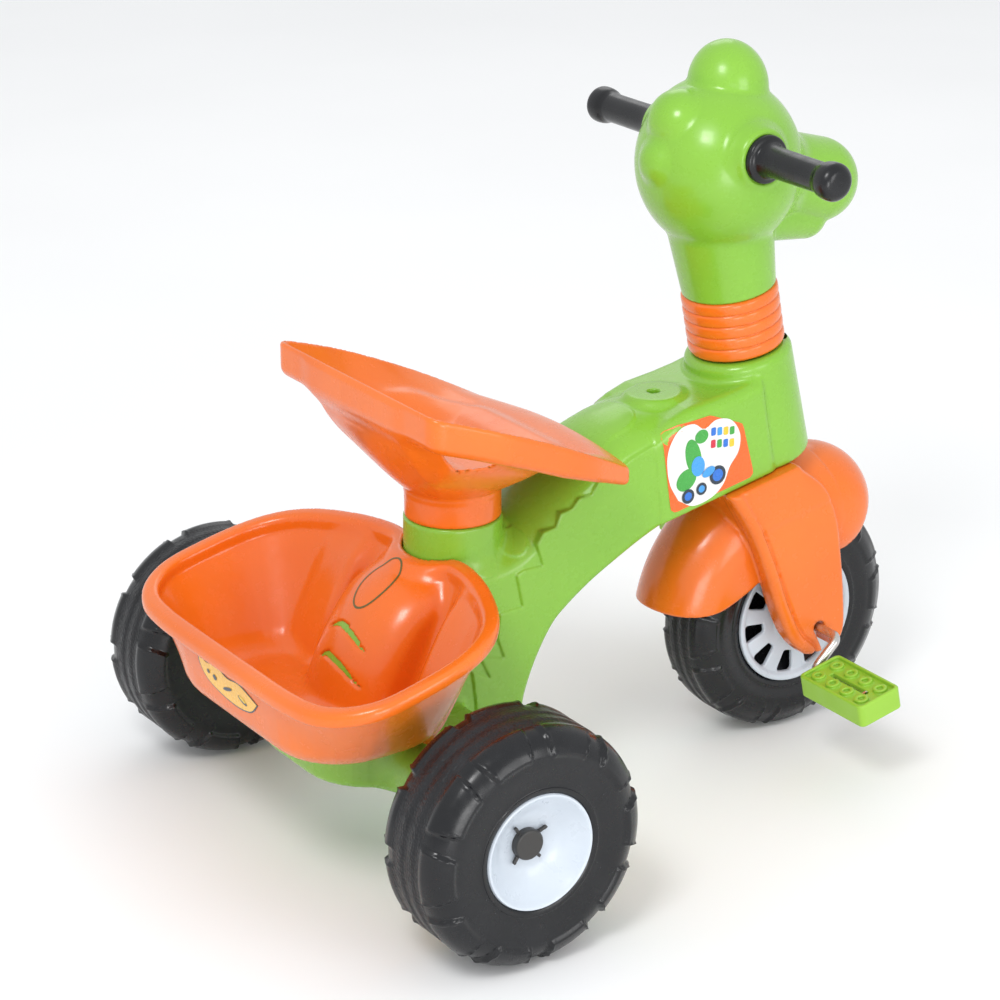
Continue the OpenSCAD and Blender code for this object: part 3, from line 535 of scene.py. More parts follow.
def frame_field(q):
    """The whole green frame as one moulding, solid inside."""
    x, y, z = q.T
    side = np.abs(y)
    p, s = steering_of(x, z)
    arch = dome(outline(x, z, RIDGE), y, ARCH_RISE, np.interp(x, [40, 80], [45.5, ARCH_HALF]))
    for cx, cz, r in SCALES:
        arch = arch - 1.1 * ramp(np.hypot(x - cx, z - cz) - r, 1.6) * (side > 20)
    arch = arch - 1.3 * ramp(outline(x, y, TOP_PATCH), 2.0) * (z > 290)
    arch = join(arch, both(side - PANEL_HALF, outline(x, z, PANEL), 0.8), 0.6)
    arch = both(both(arch, outline(x, z, UNDERSIDE), 6), x - 300)
    housing = both(both(side - HOUSING_HALF, outline(x, z, HOUSING), 11), TUBE_LOW - s, 3)
    housing = both(both(housing, p + 12, 4), outline(x, z, HOUSING_BACK), 2.5)
    tube_r = 50 - (s - TUBE_LOW) * 0.036
    tube = both(both(np.hypot(p, y) - tube_r, s - TUBE_HIGH, 7), TUBE_LOW - s, 3)
    post = both(np.hypot(x - POST_X, y) - POST_R, z - POST_TOP, 1.5)
    post = both(post, 150 - z)
    tail = both(both(outline(x, y, TAIL_PLAN), z - TAIL_HIGH, 4), TAIL_LOW - z, 9)
    wing_r = np.interp(side, [60, 130, 184], [27, 20, 18])
    wing = both(np.hypot(x, z - AXLE_HIGH) - wing_r, side - WING_HALF, 2)
    boss = both(np.hypot(x - BOSS_X, y) - BOSS_R, z - BOSS_TOP, 4)
    boss = both(boss, 300 - z)
    whole = join(arch, housing, 2.0)
    whole = join(whole, tube, 5)
    whole = join(whole, post, 9)
    whole = join(whole, boss, 7)
    whole = join(whole, join(tail, wing, 12), 8)
    dimple = both(np.hypot(x - BOSS_X, y) - DIMPLE_R, BOSS_TOP - 6 - z)
    return carve(whole, dimple, 1)


# ---- head, in steering coordinates ----

HEAD = (7, 0, 424)
BAR_AT = (4.5, 444)


def head_field(q):
    """Skull, crown, two bumps behind, muzzle, jaw and neck, with a round seat for each grip."""
    p, y, s = q.T
    side = np.abs(y)
    skull = egg(q, HEAD, (70.5, 70, 75))
    crown = egg(q, (27, 0, 486), (34, 34, 39.5))
    crown = both(crown, 480 - (p - 27) * 0.2 - s, 4)
    head = join(skull, crown, 3)
    head = join(head, ball(q, (-24.6, 0, 471.3), 28), 3)
    head = join(head, ball(q, (-43.7, 0, 443), 23.8), 3)
    muzzle = bar(q, (54, 0, 400), (104, 0, 375), 37, 37)
    head = join(head, muzzle, 14)
    jaw = bar(q, (30, 0, 372), (86, 0, 349), 27, 21.5)
    head = join(head, jaw, 2.5)
    neck = both(np.hypot(p, y) - np.interp(s, [314, 372], [40.5, 45.5]), s - 380)
    head = join(head, both(neck, 314.2 - s, 1.2), 3)
    grip_d = np.hypot(p - BAR_AT[0], s - BAR_AT[1])
    boss = both(grip_d - np.interp(side, [58, 72], [28.5, 23]), side - 71.5, 5)
    head = join(head, both(boss, 40 - side), 5)
    dish = both(grip_d - 21.5, 69.5 - side)
    head = carve(head, dish, 1.5)
    return head


# ---- seat ----

SEAT_PLAN = rounded([
    (-1, -121, 15), (64, -130, 90), (150, -122, 90), (203, -100, 14),
    (203, 100, 14), (150, 122, 90), (64, 130, 90), (-1, 121, 15)
])
BOWL_PLAN = rounded([
    (5, -66, 18), (26, -94, 26), (118, -90, 30), (156, -60, 30),
    (156, 60, 30), (118, 90, 30), (26, 94, 26), (5, 66, 18)
])
SEAT_LOW = 296.0
BAND = 29.0


def seat_field(q):
    """A dished plate with raised wings, on a bowl that narrows to the post's collar."""
    x, y, z = q.T
    edge = outline(x, y, SEAT_PLAN)
    lip = 404 - 0.30 * x - 0.00065 * x**2
    lip = lip + 9 * np.clip(x / 201, 0, 1) ** 4 * np.clip(1 - (y / 101) ** 2, 0, 1)
    share = np.clip((-edge - 3) / 78, 0, 1)
    dish = (lip - 326) * (1 - (1 - share) ** 1.7)
    level = (lip - dish - z) * 0.86
    band = np.interp(x, [2, 120, 201], [BAND, 27, 17])
    plate = both(both(edge, -level, 3.2), (lip - band - z) * 0.96, 7)
    under = lip - band
    depth = np.clip((under - z) / (under - SEAT_LOW), 0, 1)
    ring = np.hypot(x - POST_X, y) - 40
    morph = depth**1.5
    bowl = (outline(x, y, BOWL_PLAN) * (1 - morph) + ring * morph) * 0.82
    bowl = both(both(bowl, -level, 2), z - lip + 12)
    bowl = both(bowl, SEAT_LOW - 4 - z)
    collar = both(ring, z - 318)
    collar = both(collar, POST_TOP + 0.4 - z, 1.0)
    whole = join(join(plate, bowl, 12), both(collar, -level), 1.5)
    return whole


# ---- basket ----

RIM_Z, RIM_SLOPE = 229.0, 0.25
RIM_WIDE, RIM_TALL, RIM_ROUND = 14.5, 13.5, 5
BASKET_LOW = 127.0
BASKET_WALL, BASKET_FLOOR = 4.6, 4.4
HUMP_RISE = 30
PAD_MIDDLE, PAD_HALF = 92, 26
SLOT_BACK = -60.0
RIM_SIDE = [
    (54, 0), (58, -16), (69, -29), (75, -44), (73, -70), (64, -103), (47, -140), (24, -164), (-8, -177),
    (-52, -180.5), (-84, -177), (-109, -161), (-124, -136), (-129.5, -100), (-130.5, -50), (-130.5, 0)
]
RIM_PLAN = smooth(RIM_SIDE + [(x, -y) for x, y in RIM_SIDE[-2::-1]], 5)[:-1]
FLOOR_PLAN = rounded(
    [(-114, -121, 58), (10, -119, 46), (20, -60, 16), (20, 60, 16), (10, 119, 46), (-114, 121, 58)]
)
HUMP_LINE = smooth(
    [(-44, 100), (-41, 124), (-35, 142), (-25, 166), (-12, 190), (3, 211), (20, 226), (45, 238), (72, 244)]
)
HUMP = HUMP_LINE + [(FAR, 244), (FAR, 100)]
SIDE_PAD_LINE = smooth([(-2, 120), (2, 140), (13, 168), (26, 194), (40, 216), (56, 232)])
SIDE_PAD = SIDE_PAD_LINE + [(FAR, 232), (FAR, 120)]
CRESCENTS = (
    ((23.5, 185.7), (9.2, 191.7), (-10.2, 189.1), (-30.6, 179.4)),
    ((20, 162.7), (9.7, 168.4), (-14.7, 164.9), (-37, 154.5)),
)
OVAL = (20, 226)


def basket_wall(x, y, z):
    """Distance outside the basket's tub, negative inside, without its rim."""
    rise = RIM_Z + RIM_SLOPE * x - 12 - BASKET_LOW
    up = np.clip((z - BASKET_LOW) / np.maximum(rise, 30), 0, 1.2)
    floor, rim = outline(x, y, FLOOR_PLAN), outline(x, y, RIM_PLAN) + 9
    return (floor * (1 - up) + rim * up) * 0.93


def hump_field(x, y, z):
    """The ridge that stands up from the basket's floor towards the seat post."""
    wide = np.interp(z, [120, 200, 245], [53, 51, 50])
    return dome(outline(x, z, HUMP), y, HUMP_RISE, wide)


def basket_field(q):
    """A thin tub with a beaded rim, its hump and side pads, and two slots across the hump."""
    x, y, z = q.T
    wall = basket_wall(x, y, z)
    top = RIM_Z + RIM_SLOPE * x
    outside = both(wall, BASKET_LOW - z, 20)
    hollow = both(wall + BASKET_WALL, BASKET_LOW + BASKET_FLOOR - z, 17)
    tub = both(both(outside, -hollow), z - top + 6)
    edge = outline(x, y, RIM_PLAN)
    bead = both(edge, -edge - RIM_WIDE, RIM_ROUND)
    bead = both(bead, both(z - top, top - RIM_TALL - z, RIM_ROUND), RIM_ROUND)
    tub = join(tub, bead, 2.5)
    within = both(wall + 1, z - top + 1)
    hump = both(hump_field(x, y, z), within)
    pad = both(outline(x, z, SIDE_PAD), np.abs(np.abs(y) - PAD_MIDDLE) - PAD_HALF, 12)
    pad = both(pad, within)
    tub = join(join(tub, hump, 9), pad, 9)
    tub = both(tub, BASKET_LOW - z)
    for line_of_slot in CRESCENTS:
        slot = both(crescent(q, line_of_slot), -hump_field(x, y, z) - 2.6)
        tub = carve(tub, both(slot, SLOT_BACK - x), 0.5)
    arch = both(dome(outline(x, z, RIDGE), y, ARCH_RISE, ARCH_HALF - 2), x - 80) - 0.8
    tub = carve(tub, arch)
    return carve(tub, np.hypot(x - POST_X, y) - POST_R - 1.2, 1)


def crescent(q, chain):
    """Distance, seen from behind, to a slot across the hump that is widest in its middle."""
    best = np.full(len(q), np.inf)
    stops = smooth(chain, 4)
    flat = q[:, 1:]
    for i in range(len(stops) - 1):
        share = (i + 0.5) / (len(stops) - 1)
        radius = 2.5 * math.sin(math.pi * min(max(share, 0.08), 0.95)) ** 0.7
        best = np.minimum(best, bar(flat, stops[i], stops[i + 1], radius, radius))
    return best


def crescent_field(q):
    """A green strip under each slot, where the frame shows through."""
    x, y, z = q.T
    slots = np.minimum(crescent(q, CRESCENTS[0]), crescent(q, CRESCENTS[1])) - 0.4
    return both(slots, np.abs(hump_field(x, y, z) + 3.6) - 1.8)


# ---- fork, with its mudguards, in steering coordinates ----

LEG_BACK = smooth([(-72, 168), (-62, 143), (-52, 114), (-44, 76), (-38, 36), (-29, 0), (-17, -18)])
LEG_FRONT = smooth([(-6, -24), (10, -25), (26, -15), (33, 20), (37, 62), (38, 95), (30, 125), (10, 150)])
LEG = LEG_BACK + LEG_FRONT[1:] + [(0, 168)]
FRONT_LOBE = (52, 0, 83)
LOBE_R, LOBE_HALF = 55, 51
RING_R, RING_TUBE = 99.0, 46.0
WELL_TUBE, WELL_R = 42.5, 141
FORK_TOP = 156.2
AXLE_SLOT = 6.0


def fork_field(q):
    """Two legs, the crown between them, the front lobe and the rear mudguard, hollow over the wheel."""
    p, y, s = q.T
    side = np.abs(y)
    reach = np.hypot(p, s)
    face = np.interp(s, [-20, 60, 157], [67, 64, 60])
    leg = both(both(outline(p, s, LEG), side - face, 5), 41 - side, 2)
    # A raised band runs down the back edge of each leg, with a groove beside it.
    back = line(p, s, LEG_BACK)
    inside_leg = outline(p, s, LEG)
    groove = np.abs(back - 10) - 1.0
    leg = leg + 2.4 * ramp(groove, 2.0) * (inside_leg < 0) * (side > 50)
    leg = leg - 2.2 * ramp(back - 7.5, 3) * (inside_leg < 3) * (side > 50)
    crown = both(both(outline(p, s, LEG), side - face, 5), 112 - s, 4)
    ring = np.hypot(np.maximum(reach - RING_R, 0), y)
    rear = both(ring - RING_TUBE, p - 10)
    skirt = smooth(
        [(-190, 108), (-162, 82), (-150, 66), (-124, 53), (-88, 47), (-58, 52), (-30, 60), (20, 64)]
    )
    rear = both(rear, outline(p, s, [(-190, -200)] + skirt + [(20, -200)]) * -1, 2)
    lobe = both(ball(q, FRONT_LOBE, LOBE_R), side - LOBE_HALF, 9)
    tube = np.hypot(np.maximum(np.abs(reach - 97), 0), y) - 54
    ahead_of_leg = [(-20, 60), (0, 180), (52, 160), (52, 83), (20, 20)]
    front = both(both(tube, side - LOBE_HALF, 9), outline(p, s, ahead_of_leg))
    whole = join(leg, crown, 3)
    whole = join(whole, join(lobe, front, 3), 4)
    whole = both(whole, s - FORK_TOP, 3)
    well = both(ring - WELL_TUBE, reach - WELL_R)
    whole = carve(whole, well, 1)
    rear = carve(rear, ring - 43)
    whole = join(whole, rear, 3)
    # Open slot for the axle.
    slot = np.minimum(np.hypot(p, s) - AXLE_SLOT, both(np.abs(p + s * 0.25) - AXLE_SLOT, s))
    return carve(whole, both(slot, 40 - side), 1.2)


# ---- pedals, in millimetres from their middle ----

PEDAL_TILT = math.radians(-12)


def pedal_field(q):
    """A block with a shallow tray and two rows of rings on each face, and a slot through it."""
    x, y, z = q.T
    top = np.abs(z)
    body = both(both(np.abs(x) - 22.6, np.abs(y) - 41.5, 5), top - 10.4, 1.6)
    tray = both(both(np.abs(x) - 19.4, np.abs(y) - 38.2, 3), 7.2 - top)
    body = carve(body, tray, 0.6)
    row = np.abs(np.abs(x) - 10.4)
    column = np.abs(np.abs(np.abs(y) - 19) - 9.6)
    stud = np.hypot(row, column)
    ring = both(both(stud - 6.3, 2.9 - stud), both(top - 9.9, 4 - top), 0.6)
    body = join(body, ring, 0.5)
    slot = both(np.abs(x) - 2.2, np.abs(y) - 24)
    return carve(body, slot, 0.8)


# ---- wheels ----


def mirrored(place, side):
    """place, on the left for side 1 and on the right for side -1."""
    return lambda q: place(np.asarray(q, float) * (1, side, 1))


def about(centre):
    """Millimetres from a centre given in metres, to metres."""
    return lambda q: np.asarray(q, float) * MM + tuple(centre)


def tyre(name, body, centre, radius, half, lip, lugs, lug_height, bore, node):
    """Blow-moulded tyre: balloon sidewalls with raised blocks, and a knurled tread."""
    side = smooth([
        (lip, half - 9), (lip + 1.5, half - 3.5), (lip + 6, half - 1.6),
        (lip + 9, half - 2.6), (radius * 0.76, half - 0.9), (radius * 0.86, half - 3.4),
        (radius * 0.935, half - 9), (radius * 0.972, half * 0.62), (radius * 0.988, half * 0.42)
    ], 7)
    tread = [
        (radius * 0.992, half * 0.3), (radius, half * 0.26), (radius, half * 0.09),
        (radius * 0.993, half * 0.06)
    ]
    right = side + tread
    section = right + [(r, -y) for r, y in right[::-1]]
    section += [(bore, -half * 0.5), (bore, half * 0.5)]
    count = len(section)

    def bulge(ring, turn):
        r, y = ring[..., 0], ring[..., 1]
        across, up = np.abs(y) / half, (r - radius * 0.7) / (radius * 0.3)
        phase = turn / (2 * math.pi) * lugs + np.where(y > 0, 0.5, 0)
        angle = np.abs(phase - np.round(phase)) * 2
        slant = 0.80 - 0.26 * np.clip(1 - up, 0, 1)
        reach = np.clip((r - radius * 0.79) / 2.5, 0, 1) * np.clip((across - 0.40) / 0.12, 0, 1)
        block = np.clip((slant - angle) / 0.07, 0, 1)
        edge = np.clip((slant + 0.01 - angle) / 0.03, 0, 1) * np.clip((angle - slant + 0.10) / 0.03, 0, 1)
        size = np.hypot(r - radius * 0.72, y)
        lift = (lug_height * block + 1.3 * edge) * reach
        out = ring.copy()
        out[..., 0] += lift * (r - radius * 0.72) / size
        out[..., 1] += lift * y / size
        return out

    piece = turned(name, section, 360, about(centre), bulge)
    finished(piece, body, TYRE, "tyre_black", node)
    piece.data.materials.append(KNURL)
    on_tread = np.array([r > radius * 0.985 for r, y in section])
    index = np.arange(len(piece.data.polygons)) % count
    both_ends = on_tread[index] & on_tread[(index + 1) % count]
    piece.data.polygons.foreach_set("material_index", both_ends.astype(np.int32))
    return piece


def rear_dish(name, body, centre, side, node):
    """A wheel centre that dips towards its hub, inside a rolled edge."""
    face = 39.0
    section = smooth([
        (49, 24), (48.5, 34), (47.5, face), (46.2, face + 0.5), (44.5, face - 0.8),
        (41, face - 5), (35, face - 11), (27, face - 17), (18, face - 20.5), (13, face - 21.5)
    ], 5) + [(7.2, face - 21.5), (7.2, 10), (48, 10)]
    piece = turned(name, section, 160, mirrored(about(centre), side))
    return finished(piece, body, WHITE, "white_plastic", node)


def cap_field(q):
    """A round cap with four uneven spring fingers."""
    x, y, z = q.T
    r = np.hypot(x, z)
    cap = both(r - 12.6, np.abs(y - 20.5) - 4, 1.6)
    turn = np.arctan2(z, x)
    for at, long in ((0.62, 20), (2.2, 22), (3.9, 19), (5.4, 17)):
        away = np.abs((turn - at + math.pi) % (2 * math.pi) - math.pi) * r
        cap = np.minimum(cap, both(both(away - 1.3, r - long), np.abs(y - 20 - (r - 12) * 0.3) - 1.5, 0.5))
    return cap


def front_rim_field(q):
    """A disc with ten windows between its spokes."""
    x, y, z = q.T
    r = np.hypot(x, z)
    face = np.interp(r, [0, 18, 24, 54, 57, 62], [35.5, 35.0, 30.5, 29.5, 32.5, 33.5])
    disc = both(both(r - 61.5, y - face, 1.2), face - 4.5 - y)
    turn = (np.arctan2(z, x) / (2 * math.pi) * 10 + 0.25) % 1 - 0.5
    away = turn * 2 * math.pi / 10 * r
    window = both(both(np.abs(away) - (r * 0.25 - 4.4), 34 - r, 2), r - 54, 3.5)
    disc = carve(disc, window, 1.2)
    return carve(disc, r - 4.6)


# ---- stickers ----


def fan(corners, rings=7, steps=72):
    """Points and faces that fill a closed outline from its middle."""
    path = np.array(list(corners) + [corners[0]], float)
    runs = np.concatenate([[0], np.cumsum(np.linalg.norm(np.diff(path, axis=0), axis=1))])
    at = np.arange(steps) * runs[-1] / steps
    rim = np.stack([np.interp(at, runs, path[:, 0]), np.interp(at, runs, path[:, 1])], axis=1)
    middle_point = rim.mean(0)
    share = (np.arange(rings) + 1) / rings
    points = middle_point + share[:, None, None] * (rim - middle_point)
    points = np.vstack([middle_point[None], points.reshape(-1, 2)])
    faces = []
    for i in range(rings - 1):
        for j in range(steps):
            a, b = 1 + i * steps + j, 1 + i * steps + (j + 1) % steps
            faces.append((a, b, b + steps, a + steps))
    for j in range(steps):
        faces.append((0, 1 + (j + 1) % steps, 1 + j, 1 + j))
    return points, faces


def loop(corners, width):
    """Points and faces of a closed line of the given width."""
    path = np.array(corners, float)
    along = np.roll(path, -1, axis=0) - np.roll(path, 1, axis=0)
    across = np.stack([-along[:, 1], along[:, 0]], axis=1) / np.linalg.norm(along, axis=1)[:, None]
    count = len(path)
    points = np.vstack([path - across * width / 2, path + across * width / 2])
    return points, [(j, (j + 1) % count, (j + 1) % count + count, j + count) for j in range(count)]


def laid(q, direction, field, lift):
    """Drops points along direction onto the field's surface, and lifts them off it a little."""
    travelled = np.zeros(len(q))
    way = np.asarray(direction, float)
    for _ in range(12):
        travelled += np.clip(field(q + travelled[:, None] * way), -4, 4) * 0.95
    return q + (travelled - lift)[:, None] * way


def sticker(name, layers, lay, body, slot, place, *nodes):
    """One thin piece made of layers, each (outline, lift, material)."""
    points, faces, kinds, materials = [], [], [], []
    for corners, lift, material in layers:
        flat, fill = corners if isinstance(corners, tuple) else fan(corners)
        first = sum(len(p) for p in points)
        points.append(lay(flat, lift))
        faces += [tuple(dict.fromkeys(v + first for v in f)) for f in fill]
        if material not in materials:
            materials.append(material)
        kinds += [materials.index(material)] * len(fill)
    mesh = bpy.data.meshes.new(name)
    mesh.from_pydata(place(np.vstack(points)).tolist(), [], faces)
    mesh.polygons.foreach_set("material_index", kinds)
    mesh.polygons.foreach_set("use_smooth", [True] * len(faces))
    mesh.update()
    piece = bpy.data.objects.new(name, mesh)
    bpy.context.scene.collection.objects.link(piece)
    for material in materials:
        mesh.materials.append(material)
    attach(piece, body)
    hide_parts(*nodes)
    return piece


def disc(u, v, radius, tall=None, lean=0.0, steps=40):
    """A closed oval outline."""
    out = []
    for k in range(steps):
        a = 2 * math.pi * k / steps
        du, dv = radius * math.cos(a), (tall or radius) * math.sin(a)
        turned_u = du * math.cos(lean) - dv * math.sin(lean)
        turned_v = du * math.sin(lean) + dv * math.cos(lean)
        out.append((u + turned_u, v + turned_v))
    return out


# ---- everything put together ----

frame_shell = moulded("tricycle_frame", frame_field, (-70, -190, 78), (456, 190, 368), 1.7, from_rear)
finished(frame_shell, "frame", GREEN, "green_plastic", "frame_shell")
head_shell = moulded("animal_head", head_field, (-72, -76, 308), (142, 76, 530), 1.5, from_steering)
finished(head_shell, "steering", GREEN, "green_plastic", "head_shell")
seat = moulded("winged_seat", seat_field, (-6, -134, 266), (210, 134, 412), 1.8, from_rear)
finished(seat, "frame", ORANGE, "orange_plastic", "seat", "seat_screws")
basket = moulded("tub_basket", basket_field, (-135, -185, 122), (80, 185, 256), 2.1, from_rear, thin=True)
finished(basket, "frame", ORANGE, "orange_plastic", "basket")
crescents = moulded("hump_crescents", crescent_field, (-44, -44, 140), (10, 34, 206), 0.9, from_rear)
finished(crescents, "frame", GREEN, "green_plastic")
fork = moulded(
    "fork_with_mudguards", fork_field, (-168, -72, -30), (124, 72, 162), 1.7, from_steering, thin=True
)
finished(
    fork, "steering", ORANGE, "orange_plastic", "fork", "rear_mudguard", "front_bush_left",
    "front_bush_right", "front_bush_screws", "fork_bolt", "fork_nut"
)


def collar_section():
    """Five rounded ribs with a groove after each."""
    out = [(36, 261.0), (40.6, 261.0)]
    for k in range(5):
        low = 261.5 + k * 10.4
        for t in range(9):
            out.append((41.0 + 0.9 * math.sin(math.pi * t / 8) ** 0.4, low + 0.4 + 9.3 * t / 8))
        out.append((40.0, low + 10.05))
    return out + [(39.6, 313.8), (36, 313.8)]


def upright(q):
    """Turned about Y, stood up along the steering axis."""
    q = np.asarray(q, float)
    return from_steering(np.stack([q[:, 2], q[:, 0], q[:, 1]], axis=1))


collar = turned("ribbed_collar", collar_section(), 128, upright)
finished(collar, "steering", ORANGE, "orange_plastic", "neck_collar")

for side, hand in ((1, "left"), (-1, "right")):
    pedal_place = middle("pedal_" + hand)

    def pedal_at(q, place=pedal_place):
        x, y, z = np.asarray(q, float).T * MM
        c, n = math.cos(PEDAL_TILT), math.sin(PEDAL_TILT)
        return np.stack([x * c + z * n, y, z * c - x * n], axis=1) + tuple(place)

    pedal = moulded("pedal_" + hand + "_block", pedal_field, (-25, -44, -13), (25, 44, 13), 0.9, pedal_at)
    finished(pedal, hand + "_pedal", PEDAL_GREEN, "green_plastic", "pedal_" + hand)

    def grip_at(q, side=side):
        q = np.asarray(q, float)
        return from_steering(np.stack([q[:, 0] + BAR_AT[0], q[:, 1] * side, q[:, 2] + BAR_AT[1]], axis=1))

    shaft = smooth([
        (8.2, 65.6), (18.0, 66.0), (20.2, 68.4), (20.0, 73.6), (16.4, 75.6), (14.6, 78),
        (13.2, 86), (12.8, 110), (12.8, 138), (13.4, 144), (15.2, 149), (15.9, 155),
        (15.2, 160.6), (11, 164.8), (4.5, 166), (0.4, 166.1)
    ], 5)
    grip = turned("handle_grip_" + hand, shaft + [(0.4, 150), (8.2, 150)], 72, grip_at)
    finished(grip, "steering", GRIP, "grip_black", "grip_" + hand)

    wheel = middle("rear_tyre_" + hand)
    body = "rear_wheel_" + hand
    tyre("rear_wheel_tyre_" + hand, body, wheel, 98.2, 41.0, 46.5, 10, 3.0, 40, "rear_tyre_" + hand)
    rear_dish("wheel_dish_" + hand, body, wheel, side, "rear_dish_" + hand)
    cap = moulded(
        "axle_cap_" + hand, cap_field, (-26, 10, -26), (26, 30, 26), 0.9, mirrored(about(wheel), side)
    )
    finished(cap, body, CAP, "tyre_black", "rear_cap_" + hand)
    rim = moulded(
        "front_wheel_rim_" + hand, front_rim_field, (-64, 20, -64), (64, 38, 64), 1.1,
        mirrored(about(FRONT), side)
    )
    finished(rim, "front_wheel", WHITE, "white_plastic", "front_rim_" + hand)

tyre("front_wheel_tyre", "front_wheel", FRONT, 108.0, 33.0, 61.0, 12, 1.3, 14, "front_tyre")

# ---- stickers on the housing and the basket ----

INK = {
    name: vinyl("vinyl_" + name, colour) for name, colour in (
        ("orange", (0.90, 0.13, 0.01)), ("white", (0.82, 0.82, 0.80)), ("green", (0.05, 0.36, 0.05)),
        ("blue", (0.02, 0.16, 0.62)), ("sky", (0.05, 0.32, 0.75)), ("red", (0.62, 0.02, 0.05)),
        ("yellow", (0.85, 0.55, 0.03)), ("ink", (0.015, 0.03, 0.05)), ("gold", (0.90, 0.50, 0.06)),
        ("olive", (0.10, 0.09, 0.005))
    )
}
SIDE_STICKER = rounded(
    [(268, 318, 5), (284, 323, 6), (318, 326, 6), (353, 312, 5), (367, 262, 5), (279, 245, 6)]
)


def picture():
    """A white cloud with green and blue ovals, wheel-like discs and two rows of coloured blocks.

    They follow the layout and the colours of the printed picture, without its figure or letters.
    """
    layers = [(SIDE_STICKER, 0.35, INK["orange"])]
    cloud = smooth([
        (286, 256), (276, 275), (274, 300), (284, 318), (300, 322), (312, 315), (324, 321), (340, 318),
        (350, 304), (349, 288), (340, 276), (334, 262), (322, 252), (302, 248), (286, 256)
    ], 5)[:-1]
    layers.append((cloud, 0.55, INK["white"]))
    for u, v, r, tall, lean, ink in (
        (301, 292, 8, 17, 0.25, "green"), (294, 273, 11, 9, 0.6, "green"), (309, 309, 7, 6, 0.2, "green"),
        (306, 283, 7, 9, 0.1, "sky"), (327, 271, 8.5, None, 0, "ink"), (327, 271, 5.5, None, 0, "blue"),
        (296, 258, 6.5, None, 0, "ink"), (296, 258, 3.8, None, 0, "blue"), (310, 262, 5.5, None, 0, "ink"),
        (310, 262, 3.2, None, 0, "sky"), (317, 276, 7, 4, 0.4, "sky")
    ):
        layers.append((disc(u, v, r, tall, lean), 0.6 + 0.06 * len(layers), INK[ink]))
    rows = (("blue", "sky", "yellow", "green"), ("red", "green", "blue", "yellow"))
    for row, inks in enumerate(rows):
        for k, ink in enumerate(inks):
            u, v = 321.5 + k * 6.6, 311 - row * 11 - k * 0.9
            corners = ((-2.5, -3.6), (2.5, -3.6), (2.5, 3.6), (-2.5, 3.6))
            block = rounded([(u + across, v + up, 1.2) for across, up in corners], 3)
            layers.append((block, 0.8, INK[ink]))
    return layers


for side, hand in ((1, "left"), (-1, "right")):

    def on_housing(flat, lift, side=side):
        start = np.stack([flat[:, 0], np.full(len(flat), 53.0 * side), flat[:, 1]], axis=1)
        return laid(start, (0, -side, 0), frame_field, lift)

    sticker(
        "housing_sticker_" + hand, picture(), on_housing, "frame", "decal", from_rear, "frame_decal_" + hand
    )


def on_back_wall(flat, lift):
    start = np.stack([np.full(len(flat), -128.0), flat[:, 0], flat[:, 1]], axis=1)
    return laid(start, (1, 0, 0), basket_field, lift)


def basket_badge():
    """A gold badge with a dark edge and a few plain ovals."""
    shape = smooth([
        (-46, 168), (-34, 172), (-18, 176), (0, 174), (16, 178), (34, 176), (46, 178),
        (44, 168), (34, 160), (18, 156), (2, 154), (-16, 154), (-34, 158), (-46, 168)
    ], 5)[:-1]
    wider = [(u * 1.04, 165.5 + (v - 165.5) * 1.1) for u, v in shape]
    layers = [(wider, 0.35, INK["ink"]), (shape, 0.5, INK["gold"])]
    for u, v, r, tall, lean, ink in (
        (-22, 163, 7, 2.2, 0.3, "ink"), (-22, 164, 5.5, 1.4, 0.3, "yellow"), (2, 164, 8, 1.6, -0.3, "ink"),
        (22, 167, 3, 2.4, 0.2, "ink"), (32, 169, 2, 2, 0.2, "ink")
    ):
        layers.append((disc(u, v, r, tall, lean), 0.6 + 0.06 * len(layers), INK[ink]))
    return layers


OVAL_DOWN = np.array((0.44, 0, -0.90))


def on_hump(flat, lift):
    start = np.array((OVAL[0], 0, OVAL[1])) - 12 * OVAL_DOWN
    start = start + flat[:, :1] * np.array((0.90, 0, 0.44)) + flat[:, 1:] * np.array((0, 1, 0))
    return laid(start, OVAL_DOWN, basket_field, lift)


sticker(
    "hump_oval_line", [(loop(disc(0, 0, 26, 15.5, 0, 90), 1.7), 0.3, INK["olive"])], on_hump, "frame",
    "yellow_decal",
    from_rear
)
sticker("basket_sticker", basket_badge(), on_back_wall, "frame", "yellow_decal", from_rear, "basket_decal")

# ---- studio ----


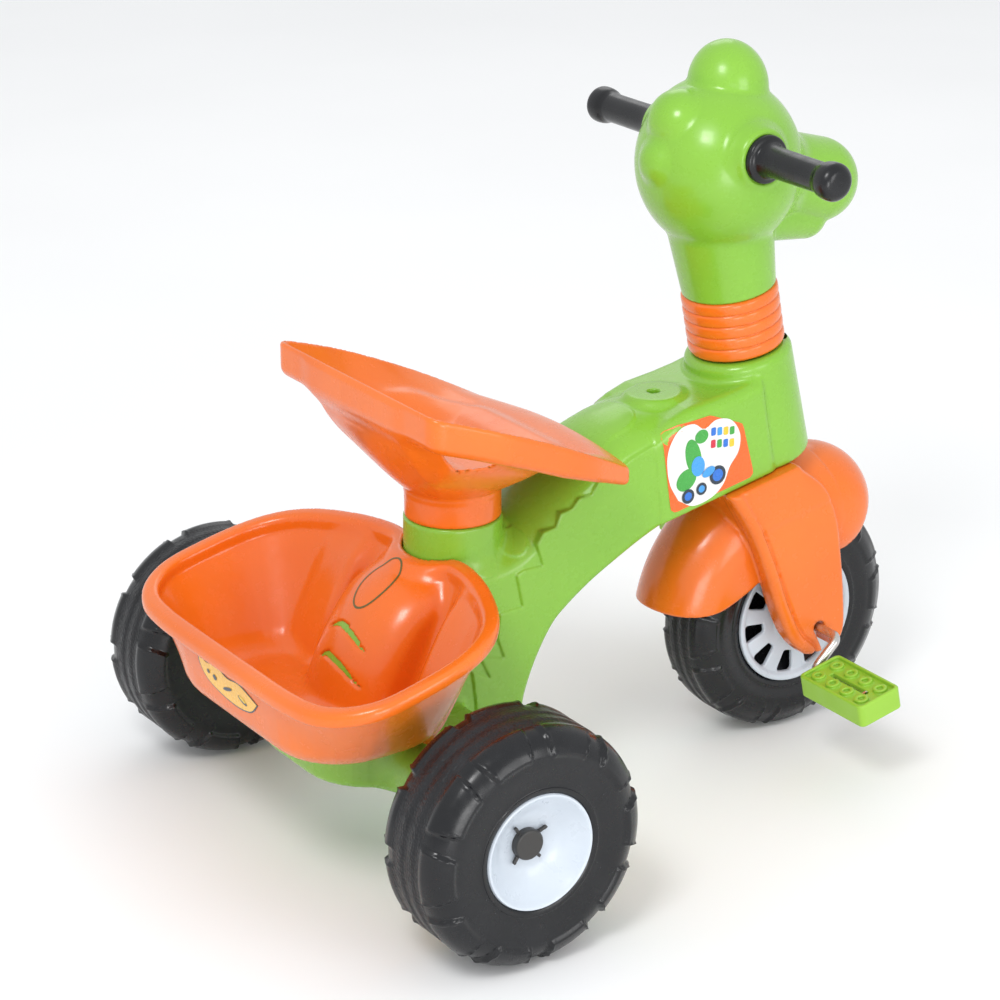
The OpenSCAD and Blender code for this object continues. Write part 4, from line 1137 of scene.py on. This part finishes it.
def studio():
    world = bpy.data.worlds.new("studio")
    bpy.context.scene.world = world
    world.use_nodes = True
    world.node_tree.nodes["Background"].inputs["Color"].default_value = (0.97, 0.985, 1.0, 1)
    world.node_tree.nodes["Background"].inputs["Strength"].default_value = 0.92
    floor = new_object("floor", [(-6, -6, 0), (6, -6, 0), (6, 6, 0), (-6, 6, 0)], [(0, 1, 2, 3)], False)
    shader = Shader("pale_floor", (0.93, 0.93, 0.93), 0.75)
    tint = shader.spread(shader.noise(2, 2), 0, 1)
    shader.coloured(tint, (0.92, 0.92, 0.92, 1), (0.94, 0.94, 0.94, 1))
    floor.data.materials.append(shader.material)
    soft_box("key", (-1.5, -1.1, 2.2), 0.7, 24)
    soft_box("fill", (0.5, -2.4, 0.8), 1.0, 11)
    soft_box("back", (1.2, 1.8, 2.0), 1.2, 5)
    soft_box("low", (-0.7, -2.0, 0.25), 0.7, 9)


def soft_box(name, place, size, power):
    light = bpy.data.lights.new(name, "AREA")
    light.shape = "SQUARE"
    light.size = size
    light.energy = power
    lamp = bpy.data.objects.new(name, light)
    lamp.location = place
    lamp.rotation_euler = (Vector((0, 0, 0.3)) - lamp.location).to_track_quat("-Z", "Y").to_euler()
    bpy.context.scene.collection.objects.link(lamp)


def camera():
    """Behind and to the right of the tricycle, a little above it, from far off with a long lens."""
    aim = Vector((-0.0674, 0, 0.2710))
    azimuth, elevation, distance = math.radians(-33.7), math.radians(20.96), 2.514
    offset = Vector((
        math.sin(azimuth) * math.cos(elevation), -math.cos(azimuth) * math.cos(elevation),
        math.sin(elevation)
    ))
    lens = bpy.data.cameras.new("camera")
    lens.lens = 109.2
    lens.sensor_width = 36
    seen = bpy.data.objects.new("camera", lens)
    seen.location = aim + offset * distance
    seen.rotation_euler = (-offset).to_track_quat("-Z", "Y").to_euler()
    bpy.context.scene.collection.objects.link(seen)
    bpy.context.scene.camera = seen


studio()
camera()

CARRIED_OVER = {
    "green_plastic": PEDAL_GREEN, "orange_plastic": ORANGE, "tyre_black": TYRE, "grip_black": GRIP,
    "white_plastic": WHITE, "nylon": NYLON, "steel": STEEL,
}
for part in frame["record"]["subparts"]:
    node = frame["nodes"][part["node"]]
    material = CARRIED_OVER.get(part["material_slot"], ORANGE)
    node.data.materials.clear()
    node.data.materials.append(material)

bpy.context.scene.view_settings.view_transform = "Standard"
